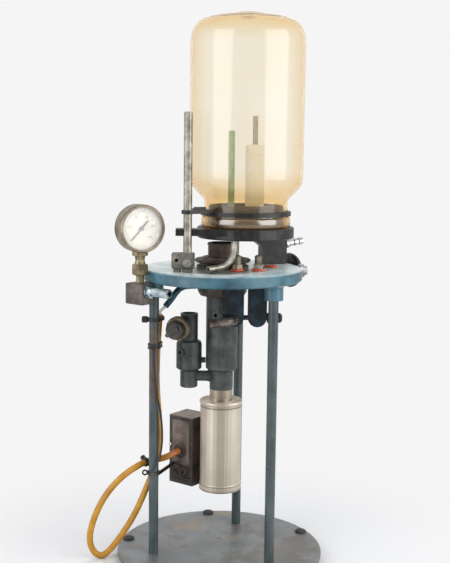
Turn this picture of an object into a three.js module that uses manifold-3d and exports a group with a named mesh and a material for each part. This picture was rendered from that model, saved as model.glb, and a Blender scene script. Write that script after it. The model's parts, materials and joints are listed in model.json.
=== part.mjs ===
// Boyle's law apparatus: an inverted amber jar on a three-legged stand, with the valve column,
// pressure gauge, relay box and gas hose that hang from its round table.
// Millimetres, +Z up. The origin is on the bench at the centre of the base disc; the front faces -Y.

import * as THREE from 'three';
import { mergeVertices } from 'three/addons/utils/BufferGeometryUtils.js';
import Module from 'manifold-3d';

const wasm = await Module();
wasm.setup();

// Play between pieces that touch, and how far a cut runs past what it cuts.
const gap = 0.3;
const overrun = 1;

// Base disc on push-in rubber feet.
const base = { radius: 145, thickness: 5, edge: 0.8 };
const foot = { inset: 11, padRadius: 10, padHeight: 8, stemRadius: 3.5, headRadius: 8.3,
  headHeight: 4.4, round: 2, count: 5, firstAngle: 25.8 };

// Three legs between the base and the round cast table.
const leg = { radius: 6.75, inset: 14, exposed: 387, socket: 11, spigotRadius: 4,
  holeRadius: 1.4, holeHeight: 116 };
const legAngles = { leg_rear: 75, leg_left: 195, leg_right: 315 };
const table = { radius: 110, thickness: 16, edge: 1.6, bossRadius: 12.8, bossDrop: 19, bossFlare: 1.4,
  boreRadius: 20, rimBossRadius: 9, rimBossReach: 16 };

// Valve column under the table.
const flange = { radius: 38, drop: 22, bevel: 7, lip: 4 };
const body = { radius: 22, length: 106, neckRadius: 16.4, neckLength: 26, chamfer: 3.5, collar: 2.2,
  portRadius: 2.6, portDepth: 8, portDrop: 26, portTurn: 246 };
const can = { radius: 29, length: 128, wall: 1.6, neckRadius: 16.2, neckLength: 16, rimRadius: 30.2,
  rimHeight: 4.6, rimWidth: 3, recess: 2.6, bandHeight: 9, bandRadius: 29.9, groove: 1.2, foot: 2.4 };
const side = { offset: 45.5, chamberRadius: 17.8, upperRadius: 12.2, upperLength: 39, chamberLength: 40,
  lowerLength: 25, shoulder: 4, shoulderRise: 6, recessRadius: 9.4, recess: 5, topDrop: 48.6,
  balanceRadius: 4, balanceDrop: 114.7, portRadius: 5.2, portBore: 2.6, portReach: 4, portDrop: 101,
  portAngle: 238 };
const bonnet = { turn: 22, dip: 8, offset: 5, drop: 62.5, bossRadius: 11.5, bossEnd: 17, radius: 16.6,
  length: 13, waistRadius: 14, lip: 3.5, recess: 1.6, recessRadius: 13.2 };
const knob = { radius: 12.4, length: 11, round: 2, gripWidth: 6, gripHeight: 4, pinRadius: 2.5,
  pinReach: 17, pinTurn: 213, spindleRadius: 5 };
const link = { radius: 7.4, drop: 137.2, nutRadius: 8.2, nutLength: 6 };

// Forked bracket with its pin, and the open drain pipe beside it.
const clevis = { front: 55.4, back: 42, left: 3.6, tongue: 25.6, space: 5.2, drop: 58, flange: 6,
  pinDrop: 46, pinRadius: 3.4 };
const pin = { sleeveRadius: 6.8, right: 80.7, headRadius: 5, headLength: 3, round: 2.6 };
const drain = { radius: 6.2, bore: 4.4, boreDepth: 16, mouthX: -16, mouthY: -66, mouthDrop: 52.6,
  rootX: 16.4, rootDrop: 48.4, sides: 12, span: 5 };
const drainShares = [[0, 0, 0], [0.3, 0, 0.35], [0.6, 0.02, 0.7], [0.84, 0.14, 0.95],
  [0.96, 0.42, 1], [1, 0.75, 1], [1, 1, 1]];

// Valve bonnet and cap in the middle of the table.
const stack = { baseRadius: 36, baseHeight: 4, waistRadius: 32, waistHeight: 3.6, rimRadius: 38.6,
  rimHeight: 4.4, hubRadius: 27, hubHeight: 3, recess: 1.2 };
const cap = { radius: 20.4, height: 19, lipRadius: 21.2, lipHeight: 3.4, topRadius: 15, dish: 1.6,
  flutes: 10, fluteRadius: 2.2 };

// Guide rod in its clamp block.
const rod = { radius: 5.7, length: 204, x: -46.6, y: -58, crown: 1 };
const block = { left: 20.8, right: 9.4, front: 10, back: 10, height: 20, stand: 5, footRadius: 7,
  screwRadius: 5.4, screwOffset: 13.4, holeRadius: 2.6, holeDepth: 11, holeOffset: 14, holeDrop: 9,
  corner: 1.2 };
const clamp = { headRadius: 5.8, headLength: 2.8, shankRadius: 2.5, drop: 12.6, slotWidth: 1.3,
  slotDepth: 1.1, slotTurn: 35 };

// Black collar that carries the jar, with its foot on the table and its fork round the rod.
const collar = { x: 31, y: 0, radius: 66.5, bore: 46, thickness: 15, rise: 42, edge: 1.2,
  earThickness: 9, earBack: 38, earFront: 61.5, earLeft: 62.5, footTurn: 16, footX: 57, footY: 40,
  footWidth: 36, footDepth: 22, gussetReach: 21, gussetRoot: 26 };
const barb = { radius: 5.4, bore: 3, length: 28, rib: 0.9, ribs: 3, turn: 20, rise: 8, inset: 9,
  drop: 13.5, boreDepth: 14, collarRadius: 6.6, collarLength: 3.4 };
const ring = { radius: 62, bore: 58.2, thickness: 6, rise: 15.5, earRise: 4.5, earThickness: 5,
  earRadius: 8.4, wedgeLength: 19, wedgeHeight: 4.6, wedgeWidth: 9, wedgeGap: 1.2 };

// Inverted jar, its neck plug and the tubes inside.
const jar = { wall: 3, mouthRadius: 61.2, mouthHeight: 14, neckRadius: 57.3, neckTop: 32,
  shoulderRadius: 74, shoulderTop: 60, bodyRadius: 77.9, bodyTop: 262, height: 287.5,
  puntRadius: 44, puntDepth: 9, roll: 3, floorWall: 4.5 };
const plug = { radius: 51.4, height: 24, edge: 2, lip: 3 };
const riser = { x: 10.6, y: 4, radius: 4.5, rise: 130.2, bore: 2.8, boreDepth: 20 };
const standpipe = { x: 42.5, y: -4, radius: 3.6, rise: 150, bore: 2, boreDepth: 20 };
const sleeve = { radius: 13, rise: 111.5, chamfer: 1.5 };

// Unions on orange washers, and the bent spout.
const washer = { radius: 9.4, thickness: 2.6, bulge: 0.7 };
const seats = { washer_left: [20, -42], washer_middle: [47.8, -38], washer_right: [67, 4] };
const union = { flatRadius: 7.2, flatHeight: 5.6, bodyRadius: 4.8, bodyHeight: 13, spigotRadius: 3.6,
  spigotDepth: 8, pipeRadius: 1.9 };
const spout = { radius: 4.4, bore: 2.7, boreDepth: 12, mouthX: -19, inset: 34, rise: 5.6,
  rootX: 15.4, rootY: -55, sides: 12, span: 7 };

// Handwheel valve and the plain plug on the table rim.
const wheel = { turn: 39, rise: 4, reach: 16, rimRadius: 21.3, rimTube: 4, hubRadius: 6.4,
  hubLength: 9, web: 3.6, grips: 10, gripRadius: 2.2, spindleRadius: 4.2, pinRadius: 1.9,
  bodyRadius: 8, bodyLength: 8.6 };
const rimPlug = { turn: 13, rise: 9.6, radius: 9.4, length: 6.4, noseRadius: 6.4, noseLength: 4.4,
  bore: 3, boreDepth: 6, spigotRadius: 4, spigotDepth: 8 };

// Pressure gauge on its block, and the outlet nozzle.
const gaugeBlock = { clear: 11.2, bearing: 204.9, along: 30, across: 24, height: 28, turn: -38,
  spigotRadius: 5, bevel: 1 };
const stem = { nippleRadius: 5.3, nippleLength: 10.3, hexRadius: 10.6, hexLength: 15, neckRadius: 7.3,
  neckLength: 11, shoulderRadius: 10.6, shoulderLength: 8, waist: 6.2 };
const gauge = { radius: 32, back: 13, front: 10.5, lip: 1.6, lipRadius: 28.2, recess: 7.4, turn: 29,
  rise: 56.6, edge: 2, dialThickness: 0.8, glassThickness: 1.6 };
const pointer = { tip: 21.5, tail: 14, tipWidth: 0.7, rootWidth: 1.9, hubRadius: 3, thickness: 0.8,
  lift: 0.9, hubHeight: 2.2, turn: 228 };
const nozzle = { washerRadius: 10.4, washerLength: 2.4, hubRadius: 8.6, hubLength: 5, radius: 6.4,
  length: 37.5, bore: 3.7, boreDepth: 20, drop: 10.5, edge: 0.8 };

// Relay box strapped to the left leg.
const box = { cornerX: -40.4, cornerY: -0.2, turn: -36.87, width: 42, depth: 41, drop: 299,
  height: 99, frame: 5.4, frameDepth: 2.2, edge: 1 };
const gland = { radius: 10.2, reach: 4.2, rise: 49.5, seatRadius: 7, seatDepth: 6, edge: 1 };
const strap = { rise: 26, height: 5, thickness: 1.6, eyeRadius: 4.2, eyeBore: 2.1, eyeReach: 12.2 };

// Yellow gas hose, its ties, and the blue feed pipe under the table.
const hose = { radius: 4.5, sides: 10, span: 16, lift: 0.5 };
const tie = { thickness: 1.7, height: 5, drop: 56.5, knobRadius: 4.6, knobLength: 9, bandDrop: 94.5,
  bandHeight: 7.4, bandGroove: 0.7, valley: 2.6, slack: 0.7, knobRound: 1.4, ringRadius: 6.6,
  ringLength: 4.4, ringShare: 0.088, headSize: 5.4, headTurn: 90, wireRadius: 1.4, wireSides: 8,
  wireSpan: 12 };
const wireShares = [[-0.12, 1.02, 1], [-0.05, 1.04, 0.96], [0.16, 1.09, 0.83], [0.74, 1.08, 0.64],
  [1.51, 0.85, 0.46], [1.78, 0.73, 0.26], [1.21, 0.97, 0.11], [0.53, 1.09, 0.065],
  [-0.31, 1.09, 0.015]];
const feed = { radius: 4.3, bore: 2.6, boreDepth: 6, inset: 15.8, bearing: 194.4, mouthDrop: 36.5,
  hoseDrop: 12.5, turn: 198.5, drop: 8.6, gap: 0.9, sides: 12, span: 8 };
const feedShares = [[0, 0, 0], [0.19, 0.05, 0.34], [0.36, 0.16, 0.7], [0.52, 0.34, 0.92], [0.72, 0.6, 1],
  [0.88, 0.84, 1], [1, 1, 1]];
const clear = { radius: 2.2, entry: 4, sides: 12, span: 3 };

// Facets round a full turn.
const fine = 48;
const broad = 36;
const medium = 28;
const coarse = 16;
const small = 10;

// Levels that follow from the sizes above.
const baseTop = foot.padHeight + base.thickness;
const tableBottom = baseTop + leg.exposed;
const tableTop = tableBottom + table.thickness;
const footCircle = base.radius - foot.inset;
const legCircle = table.radius - leg.inset;
const gaugeBlockTop = tableBottom - gap;
const collarBottom = tableTop + collar.rise;
const collarTop = collarBottom + collar.thickness;
const flangeBottom = tableBottom - gap - flange.drop;
const bodyBottom = flangeBottom - gap - body.length;
const neckBottom = bodyBottom - body.neckLength;
const canTop = neckBottom - gap - can.neckLength;
const canBottom = canTop - can.length;
const sideTop = tableBottom - side.topDrop;
const linkLevel = tableBottom - link.drop;
const pinLevel = tableBottom - clevis.pinDrop;
const ringBottom = collarTop + ring.rise;
const wheelLevel = tableBottom + wheel.rise;
const wheelDistance = table.radius + wheel.reach;
const rimPlugLevel = tableBottom + rimPlug.rise;
const nozzleLevel = tableBottom - nozzle.drop;
const gaugeLevel = tableTop + gauge.rise;
const boxBottom = tableBottom - box.drop;
const glandLevel = boxBottom + gland.rise;
const strapLevel = boxBottom + strap.rise;

// Colours and finishes.
const look = (color, roughness, metalness, extra = {}) =>
  new THREE.MeshStandardMaterial({ color, roughness, metalness, ...extra });
const looks = {
  teal: look(0x6fa0ac, 0.5, 0.1),
  legBlue: look(0x64808a, 0.45, 0.25),
  baseGrey: look(0x7d8082, 0.6, 0.3),
  rubber: look(0x2c2c2e, 0.8, 0),
  casting: look(0x55605e, 0.6, 0.3),
  blackSteel: look(0x3a3a3c, 0.5, 0.2),
  silver: look(0xcdc8be, 0.35, 0.8),
  chrome: look(0xb6c4cc, 0.2, 0.9),
  brass: look(0x8c8264, 0.45, 0.7),
  tan: look(0x8d8168, 0.5, 0.5),
  darkKnob: look(0x4a4844, 0.5, 0.2),
  blueEnamel: look(0x1f4a5e, 0.4, 0.2),
  brown: look(0x5c4a42, 0.6, 0.2),
  steel: look(0x96948a, 0.4, 0.7),
  olive: look(0x7c7a66, 0.55, 0.4),
  orange: look(0xcd5a32, 0.6, 0),
  amber: look(0xe8cf9a, 0.08, 0, { transparent: true, opacity: 0.4 }),
  green: look(0x4c6a48, 0.5, 0.1),
  cream: look(0xe0cfa8, 0.6, 0),
  gaugeBrown: look(0x82766c, 0.5, 0.4),
  dial: look(0xf0f0e1, 0.6, 0),
  glass: look(0xf4f6f4, 0.05, 0, { transparent: true, opacity: 0.25 }),
  boxBrown: look(0x6e625a, 0.55, 0.3),
  boxBlack: look(0x3c3a37, 0.55, 0.3),
  yellow: look(0xd7a528, 0.45, 0),
  clear: look(0xe6e8e6, 0.2, 0, { transparent: true, opacity: 0.5 }),
};

// A closed copy of a geometry with shared vertices and no slivers.
function closed(geometry) {
  const bare = geometry.clone();
  for (const key of Object.keys(bare.attributes)) {
    if (key !== 'position') bare.deleteAttribute(key);
  }
  const merged = mergeVertices(bare, 1e-4);
  const kept = [];
  const index = merged.index.array;
  for (let i = 0; i < index.length; i += 3) {
    const [a, b, c] = [index[i], index[i + 1], index[i + 2]];
    if (a !== b && b !== c && c !== a) kept.push(a, b, c);
  }
  merged.setIndex(kept);
  return merged;
}

function solid(geometry) {
  const merged = closed(geometry);
  const mesh = new wasm.Mesh({
    numProp: 3,
    vertProperties: new Float32Array(merged.attributes.position.array),
    triVerts: new Uint32Array(merged.index.array),
  });
  mesh.merge();
  return new wasm.Manifold(mesh);
}

function geometryOf(manifold) {
  const mesh = manifold.getMesh();
  const geometry = new THREE.BufferGeometry();
  const points = [];
  for (let i = 0; i < mesh.vertProperties.length; i += mesh.numProp) {
    points.push(mesh.vertProperties[i], mesh.vertProperties[i + 1], mesh.vertProperties[i + 2]);
  }
  geometry.setAttribute('position', new THREE.Float32BufferAttribute(points, 3));
  geometry.setIndex(Array.from(mesh.triVerts));
  geometry.computeVertexNormals();
  return geometry;
}

// Join the first list of geometries, then cut the second list away.
function build(added, removed = []) {
  let work = solid(added[0]);
  for (const piece of added.slice(1)) work = work.add(solid(piece));
  for (const piece of removed) work = work.subtract(solid(piece));
  return geometryOf(work);
}

// Revolve a profile of [radius, height] pairs about +Z.
function turned(profile, facets) {
  let area = 0;
  profile.forEach(([r, z], i) => {
    const [nextR, nextZ] = profile[(i + 1) % profile.length];
    area += r * nextZ - nextR * z;
  });
  const points = area < 0 ? [...profile].reverse() : [...profile];
  const onAxis = points[0][0] === 0 && points[points.length - 1][0] === 0;
  if (!onAxis) points.push(points[0]);
  const outline = points.map(([r, z]) => new THREE.Vector2(r, z));
  return new THREE.LatheGeometry(outline, facets).rotateX(Math.PI / 2);
}

function drum(radius, bottom, top, facets = coarse) {
  return turned([[0, bottom], [radius, bottom], [radius, top], [0, top]], facets);
}

// A drum with its rims bevelled.
function pill(radius, bottom, top, edge, facets = coarse) {
  return turned([[0, bottom], [radius - edge, bottom], [radius, bottom + edge],
    [radius, top - edge], [radius - edge, top], [0, top]], facets);
}

// Turn a piece made along +Z to lie along a direction, and carry it to a point.
function aim(geometry, direction, point) {
  const turn = new THREE.Quaternion().setFromUnitVectors(
    new THREE.Vector3(0, 0, 1), direction.clone().normalize());
  return geometry.applyQuaternion(turn).translate(point.x, point.y, point.z);
}

function slab(x0, x1, y0, y1, z0, z1) {
  return new THREE.BoxGeometry(x1 - x0, y1 - y0, z1 - z0)
    .translate((x0 + x1) / 2, (y0 + y1) / 2, (z0 + z1) / 2);
}

// Extrude an outline of [x, y] pairs from one level to another.
function prism(outline, bottom, top, bevel = 0) {
  const shape = new THREE.Shape(outline.map(([x, y]) => new THREE.Vector2(x, y)));
  return new THREE.ExtrudeGeometry(shape, {
    depth: top - bottom - 2 * bevel,
    bevelEnabled: bevel > 0,
    bevelThickness: bevel,
    bevelSize: bevel,
    bevelOffset: -bevel,
    bevelSegments: 1,
  }).translate(0, 0, bottom + bevel);
}

function circleShape(radius, sides) {
  const shape = new THREE.Shape();
  for (let i = 0; i < sides; i += 1) {
    const angle = (2 * Math.PI * i) / sides;
    const [x, y] = [radius * Math.cos(angle), radius * Math.sin(angle)];
    if (i === 0) shape.moveTo(x, y);
    else shape.lineTo(x, y);
  }
  shape.closePath();
  return shape;
}

// A round tube along a smooth curve through the points.
function tube(points, radius, sides, span) {
  const curve = new THREE.CatmullRomCurve3(points, false, 'centripetal');
  const steps = Math.round(curve.getLength() / span);
  return new THREE.ExtrudeGeometry(circleShape(radius, sides), { steps, extrudePath: curve });
}

const at = (x, y, z) => new THREE.Vector3(x, y, z);
const radians = THREE.MathUtils.degToRad;
const quarter = 90;
const heading = (degrees) => at(Math.cos(radians(degrees)), Math.sin(radians(degrees)), 0);
const onCircle = (radius, degrees, z) => heading(degrees).multiplyScalar(radius).setZ(z);

const apparatus = new THREE.Group();

function place(name, geometry, material, parent = apparatus) {
  const mesh = new THREE.Mesh(geometry, material);
  mesh.name = name;
  parent.add(mesh);
  return mesh;
}

// Stand

function makeBase() {
  const disc = pill(base.radius, foot.padHeight, baseTop, base.edge, fine + coarse + 4);
  const holes = [];
  for (let i = 0; i < foot.count; i += 1) {
    const spot = onCircle(footCircle, foot.firstAngle + (360 * i) / foot.count, 0);
    holes.push(drum(foot.stemRadius + gap, foot.padHeight - overrun, baseTop + overrun, small)
      .translate(spot.x, spot.y, 0));
  }
  for (const angle of Object.values(legAngles)) {
    const spot = onCircle(legCircle, angle, 0);
    holes.push(drum(leg.spigotRadius + gap, foot.padHeight - overrun, baseTop + overrun, small)
      .translate(spot.x, spot.y, 0));
  }
  return build([disc], holes);
}

function makeFoot() {
  const padTop = foot.padHeight - gap;
  const headBottom = baseTop + gap;
  const headTop = headBottom + foot.headHeight;
  return turned([[0, 0], [foot.padRadius - foot.round, 0], [foot.padRadius, foot.round],
    [foot.padRadius, padTop], [foot.stemRadius, padTop], [foot.stemRadius, headBottom],
    [foot.headRadius, headBottom], [foot.headRadius, headTop - foot.headHeight / 2],
    [foot.headRadius - foot.round, headTop - foot.round / 2],
    [foot.stemRadius, headTop], [0, headTop]], small + 2);
}

function makeLeg(name) {
  const shoulder = baseTop + gap;
  const top = tableBottom + leg.socket - gap;
  const shaft = turned([[0, foot.padHeight + base.edge], [leg.spigotRadius, foot.padHeight + base.edge],
    [leg.spigotRadius, shoulder], [leg.radius, shoulder], [leg.radius, top], [0, top]], coarse + 4);
  if (name !== 'leg_left') return shaft;
  const hole = aim(drum(leg.holeRadius, -leg.radius - overrun, leg.radius + overrun, small),
    at(0, 1, 0), at(0, 0, baseTop + leg.holeHeight));
  return build([shaft], [hole]);
}

function makeTable() {
  const added = [pill(table.radius, tableBottom, tableTop, table.edge, fine + coarse + 4)];
  const removed = [drum(table.boreRadius + gap, tableBottom - overrun, tableTop + overrun, medium)];
  for (const angle of Object.values(legAngles)) {
    const spot = onCircle(legCircle, angle, 0);
    const bossBottom = tableBottom - table.bossDrop;
    added.push(turned([[0, bossBottom], [table.bossRadius, bossBottom],
      [table.bossRadius, tableBottom - 2 * table.bossFlare],
      [table.bossRadius + table.bossFlare, tableBottom], [table.bossRadius, tableBottom + overrun],
      [0, tableBottom + overrun]], coarse + 4).translate(spot.x, spot.y, 0));
    removed.push(drum(leg.radius + gap, bossBottom - overrun, tableBottom + leg.socket, coarse + 4)
      .translate(spot.x, spot.y, 0));
  }
  const wheelWay = heading(wheel.turn);
  added.push(aim(drum(table.rimBossRadius, table.radius - table.rimBossReach, table.radius, coarse),
    wheelWay, at(0, 0, wheelLevel)));
  removed.push(aim(drum(wheel.spindleRadius + gap, table.radius - table.rimBossReach / 2,
    table.radius + overrun, small), wheelWay, at(0, 0, wheelLevel)));
  removed.push(aim(drum(rimPlug.spigotRadius + gap, table.radius - rimPlug.spigotDepth - gap,
    table.radius + overrun, small), heading(rimPlug.turn), at(0, 0, rimPlugLevel)));
  const spigot = gaugeSpigot();
  removed.push(aim(drum(gaugeBlock.spigotRadius + gap, 0, spigot.length + gap, small),
    spigot.way, spigot.start));
  for (const [x, y] of Object.values(seats)) {
    removed.push(drum(union.spigotRadius + gap, tableTop - union.spigotDepth - gap,
      tableTop + overrun, small).translate(x, y, 0));
  }
  return build(added, removed);
}

// Valve column

function makeFlange() {
  const top = tableBottom - gap;
  const spigotTop = tableTop - gap;
  return turned([[0, flangeBottom], [flange.radius - flange.bevel, flangeBottom],
    [flange.radius - flange.lip, flangeBottom + flange.bevel - flange.lip / 2],
    [flange.radius - flange.lip, top - flange.drop / 2 - gap],
    [flange.radius, top - flange.drop / 2], [flange.radius, top],
    [table.boreRadius, top], [table.boreRadius, spigotTop], [0, spigotTop]], medium);
}

function makeBody() {
  const top = flangeBottom - gap;
  const shell = turned([[0, neckBottom], [body.neckRadius, neckBottom], [body.neckRadius, bodyBottom],
    [body.radius - body.chamfer, bodyBottom + gap], [body.radius, bodyBottom + body.chamfer],
    [body.radius, top - body.collar], [body.radius + body.collar, top], [0, top]], medium);
  const port = aim(drum(body.portRadius, body.radius - body.portDepth, body.radius + overrun, small),
    heading(body.portTurn), at(0, 0, top - body.portDrop));
  return build([shell], [port]);
}

function makeCan() {
  const inner = can.radius - can.wall;
  const floor = canBottom + can.wall;
  return turned([[0, canBottom + can.foot], [can.radius - can.foot, canBottom + can.foot],
    [can.radius - can.wall, canBottom], [can.bandRadius, canBottom],
    [can.bandRadius, canBottom + can.bandHeight], [can.radius, canBottom + can.bandHeight + can.groove],
    [can.radius, canTop - can.rimHeight - gap], [inner, canTop - can.rimHeight - gap],
    [inner, floor + can.foot], [0, floor + can.foot]], medium + 6);
}

function makeCanCap() {
  const rimBottom = canTop - can.rimHeight;
  const inner = can.radius - can.wall - gap;
  return turned([[0, rimBottom - can.rimWidth], [inner, rimBottom - can.rimWidth], [inner, rimBottom],
    [can.rimRadius - can.wall / 2, rimBottom], [can.rimRadius, rimBottom + can.wall],
    [can.rimRadius, canTop - can.wall], [can.rimRadius - can.wall / 2, canTop],
    [can.rimRadius - can.rimWidth, canTop], [can.rimRadius - can.rimWidth - can.wall, canTop - can.recess],
    [can.neckRadius + can.wall, canTop - can.recess], [can.neckRadius, canTop - can.recess + can.wall],
    [can.neckRadius, neckBottom - gap], [0, neckBottom - gap]], medium + 6);
}

const bonnetWay = heading(270 - bonnet.turn).multiplyScalar(Math.cos(radians(bonnet.dip)))
  .setZ(-Math.sin(radians(bonnet.dip)));
const bonnetRoot = at(-side.offset - bonnet.offset, 0, tableBottom - bonnet.drop);
const alongBonnet = (distance) => bonnetRoot.clone().addScaledVector(bonnetWay, distance);

function makeSideValve() {
  const upperBottom = sideTop - side.upperLength;
  const chamberBottom = upperBottom - side.chamberLength;
  const bottom = chamberBottom - side.lowerLength;
  const chambers = turned([[0, bottom], [side.upperRadius - side.shoulder / 4, bottom],
    [side.upperRadius, bottom + side.shoulder / 4], [side.upperRadius, chamberBottom - side.shoulder / 2],
    [side.chamberRadius, chamberBottom + side.shoulder / 2],
    [side.chamberRadius, upperBottom - side.shoulder], [side.chamberRadius - side.shoulder / 3,
      upperBottom - gap], [side.upperRadius, upperBottom + side.shoulderRise / 3],
    [side.upperRadius, sideTop], [side.recessRadius, sideTop],
    [side.recessRadius, sideTop - side.recess], [0, sideTop - side.recess]], coarse + 8)
    .translate(-side.offset, 0, 0);
  const boss = aim(drum(bonnet.bossRadius, 0, bonnet.bossEnd, coarse), bonnetWay, bonnetRoot);
  const balance = aim(drum(side.balanceRadius, side.chamberRadius / 2,
    side.offset - body.radius - gap, small), at(1, 0, 0),
  at(-side.offset, 0, tableBottom - side.balanceDrop));
  const portWay = heading(side.portAngle);
  const portRoot = at(-side.offset, 0, tableBottom - side.portDrop);
  const reach = side.chamberRadius + side.portReach;
  const port = aim(drum(side.portRadius, side.chamberRadius / 2, reach, small), portWay, portRoot);
  const bore = aim(drum(side.portBore, side.chamberRadius, reach + overrun, small), portWay, portRoot);
  const linkWay = at(1, 0, 0);
  const seat = aim(drum(link.radius + gap, side.upperRadius - side.shoulder / 2,
    side.upperRadius + side.shoulder, coarse), linkWay, at(-side.offset, 0, linkLevel));
  const recess = aim(drum(bonnet.waistRadius + gap, bonnet.bossEnd, bonnet.bossEnd + bonnet.length, coarse),
    bonnetWay, bonnetRoot);
  return build([chambers, boss, balance, port], [bore, seat, recess]);
}

function makeBonnet() {
  const start = bonnet.bossEnd + gap;
  const end = start + bonnet.length;
  return aim(turned([[0, start], [bonnet.waistRadius - bonnet.recess, start],
    [bonnet.waistRadius, start + bonnet.recess], [bonnet.waistRadius, start + bonnet.lip],
    [bonnet.radius, start + bonnet.lip + bonnet.recess], [bonnet.radius, end - bonnet.recess],
    [bonnet.radius - bonnet.recess, end], [bonnet.recessRadius, end],
    [bonnet.recessRadius, end - bonnet.recess], [knob.spindleRadius + gap, end - bonnet.recess],
    [knob.spindleRadius + gap, start + bonnet.lip], [0, start + bonnet.lip]], coarse + 8),
  bonnetWay, bonnetRoot);
}

function makeKnob() {
  const bonnetEnd = bonnet.bossEnd + gap + bonnet.length;
  const start = bonnetEnd + gap;
  const end = start + knob.length;
  const spindleStart = bonnet.bossEnd + gap + bonnet.lip + gap;
  const grip = slab(-knob.gripWidth / 2, knob.gripWidth / 2, -knob.radius + knob.round,
    knob.radius - knob.round, end - knob.round, end + knob.gripHeight)
    .rotateZ(radians(knob.pinTurn + quarter));
  const peg = aim(pill(knob.pinRadius, knob.radius / 2, knob.pinReach, knob.pinRadius / 3, small),
    heading(knob.pinTurn), at(0, 0, (start + end) / 2));
  const head = turned([[0, spindleStart], [knob.spindleRadius, spindleStart],
    [knob.spindleRadius, start], [knob.radius, start], [knob.radius, end - knob.round],
    [knob.radius - knob.round, end], [0, end]], coarse + 8);
  const piece = build([head, grip, peg]);
  const tilt = new THREE.Matrix4().makeBasis(heading(-bonnet.turn),
    bonnetWay.clone().cross(heading(-bonnet.turn)), bonnetWay);
  return piece.applyMatrix4(tilt).translate(bonnetRoot.x, bonnetRoot.y, bonnetRoot.z);
}

function makeLink() {
  const start = side.upperRadius - side.shoulder / 2 + gap;
  const end = side.offset - body.neckRadius + link.nutLength / 2;
  const pipe = aim(turned([[0, start], [link.radius, start], [link.radius, end - link.nutLength],
    [link.nutRadius, end - link.nutLength], [link.nutRadius, end], [0, end]], coarse),
  at(1, 0, 0), at(-side.offset, 0, linkLevel));
  return build([pipe], [drum(body.neckRadius + gap, neckBottom - overrun, bodyBottom, medium)]);
}

// Forked bracket, its pin, and the drain pipe

const clevisDepth = clevis.front - clevis.back;
const tongueLefts = [clevis.left, clevis.left + clevis.tongue + clevis.space];
const clevisRight = tongueLefts[1] + clevis.tongue;

function makeClevis() {
  const top = tableBottom - gap;
  const low = tableBottom - clevis.drop;
  const half = clevis.tongue / 2;
  const round = 8;
  const tongues = tongueLefts.map((left) => {
    const outline = [[0, top], [0, low + half]];
    for (let i = 1; i <= round; i += 1) {
      const angle = Math.PI * (1 + i / round);
      outline.push([half + half * Math.cos(angle), low + half + half * Math.sin(angle)]);
    }
    outline.push([clevis.tongue, top]);
    return prism(outline, 0, clevisDepth).rotateX(Math.PI / 2).translate(left, -clevis.back, 0);
  });
  const head = slab(clevis.left, clevisRight, -clevis.front, -clevis.back, top - clevis.flange, top);
  const bore = aim(drum(clevis.pinRadius + gap, clevis.left - overrun, clevisRight + overrun, small),
    at(1, 0, 0), at(0, -(clevis.front + clevis.back) / 2, pinLevel));
  return build([...tongues, head], [bore]);
}

function makePin() {
  const start = clevis.left - gap - pin.headLength;
  const sleeveStart = clevisRight + gap;
  return aim(turned([[0, start], [pin.headRadius, start], [pin.headRadius, clevis.left - gap],
    [clevis.pinRadius, clevis.left - gap], [clevis.pinRadius, sleeveStart],
    [pin.sleeveRadius, sleeveStart], [pin.sleeveRadius, pin.right - pin.round],
    [pin.sleeveRadius - pin.round, pin.right], [0, pin.right]], coarse),
  at(1, 0, 0), at(0, -(clevis.front + clevis.back) / 2, pinLevel));
}

// The pipe leaves the front of the bracket and turns to the left.
const drainRoute = between(at(drain.mouthX, drain.mouthY, tableBottom - drain.mouthDrop),
  at(drain.rootX, -clevis.front - gap, tableBottom - drain.rootDrop), drainShares);

// A route between two points, with its own share of the way along each axis.
function between(start, end, shares) {
  return shares.map(([x, y, z]) => [start.x + x * (end.x - start.x), start.y + y * (end.y - start.y),
    start.z + z * (end.z - start.z)]);
}

function openTube(route, radius, bore, boreDepth, sides, span) {
  const points = route.map(([x, y, z]) => at(x, y, z));
  const mouth = points[0];
  const inward = points[1].clone().sub(mouth).normalize();
  const core = aim(drum(bore, -overrun, boreDepth, sides), inward, mouth);
  return build([tube(points, radius, sides, span)], [core]);
}

// Table top

function makeStack() {
  const bottom = tableTop + gap;
  const waistBottom = bottom + stack.baseHeight;
  const rimBottom = waistBottom + stack.waistHeight;
  const rimTop = rimBottom + stack.rimHeight;
  const hubTop = rimTop + stack.hubHeight;
  return turned([[0, bottom], [stack.baseRadius, bottom],
    [stack.baseRadius, waistBottom - stack.recess], [stack.waistRadius, waistBottom],
    [stack.waistRadius, rimBottom], [stack.rimRadius - stack.recess, rimBottom],
    [stack.rimRadius, rimBottom + stack.recess], [stack.rimRadius, rimTop - stack.recess],
    [stack.rimRadius - stack.recess, rimTop], [stack.hubRadius + stack.recess, rimTop - stack.recess],
    [stack.hubRadius, hubTop], [0, hubTop]], medium);
}

const capBottom = tableTop + gap + stack.baseHeight + stack.waistHeight + stack.rimHeight
  + stack.hubHeight + gap;

function makeCap() {
  const top = capBottom + cap.height;
  const wall = turned([[0, capBottom], [cap.radius, capBottom], [cap.radius, top - cap.lipHeight],
    [cap.lipRadius, top - cap.lipHeight], [cap.lipRadius, top - cap.dish / 2],
    [cap.lipRadius - cap.dish, top], [cap.topRadius, top], [cap.topRadius - cap.dish, top - cap.dish],
    [0, top - cap.dish]], medium);
  const flutes = [];
  for (let i = 0; i < cap.flutes; i += 1) {
    const spot = onCircle(cap.radius + cap.fluteRadius / 2, (360 * i) / cap.flutes, 0);
    flutes.push(drum(cap.fluteRadius, capBottom - overrun, top - cap.lipHeight, small)
      .translate(spot.x, spot.y, 0));
  }
  return build([wall], flutes);
}

const blockBottom = tableTop + gap + block.stand;
const blockTop = blockBottom + block.height;
const blockFront = rod.y - block.front;

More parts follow.
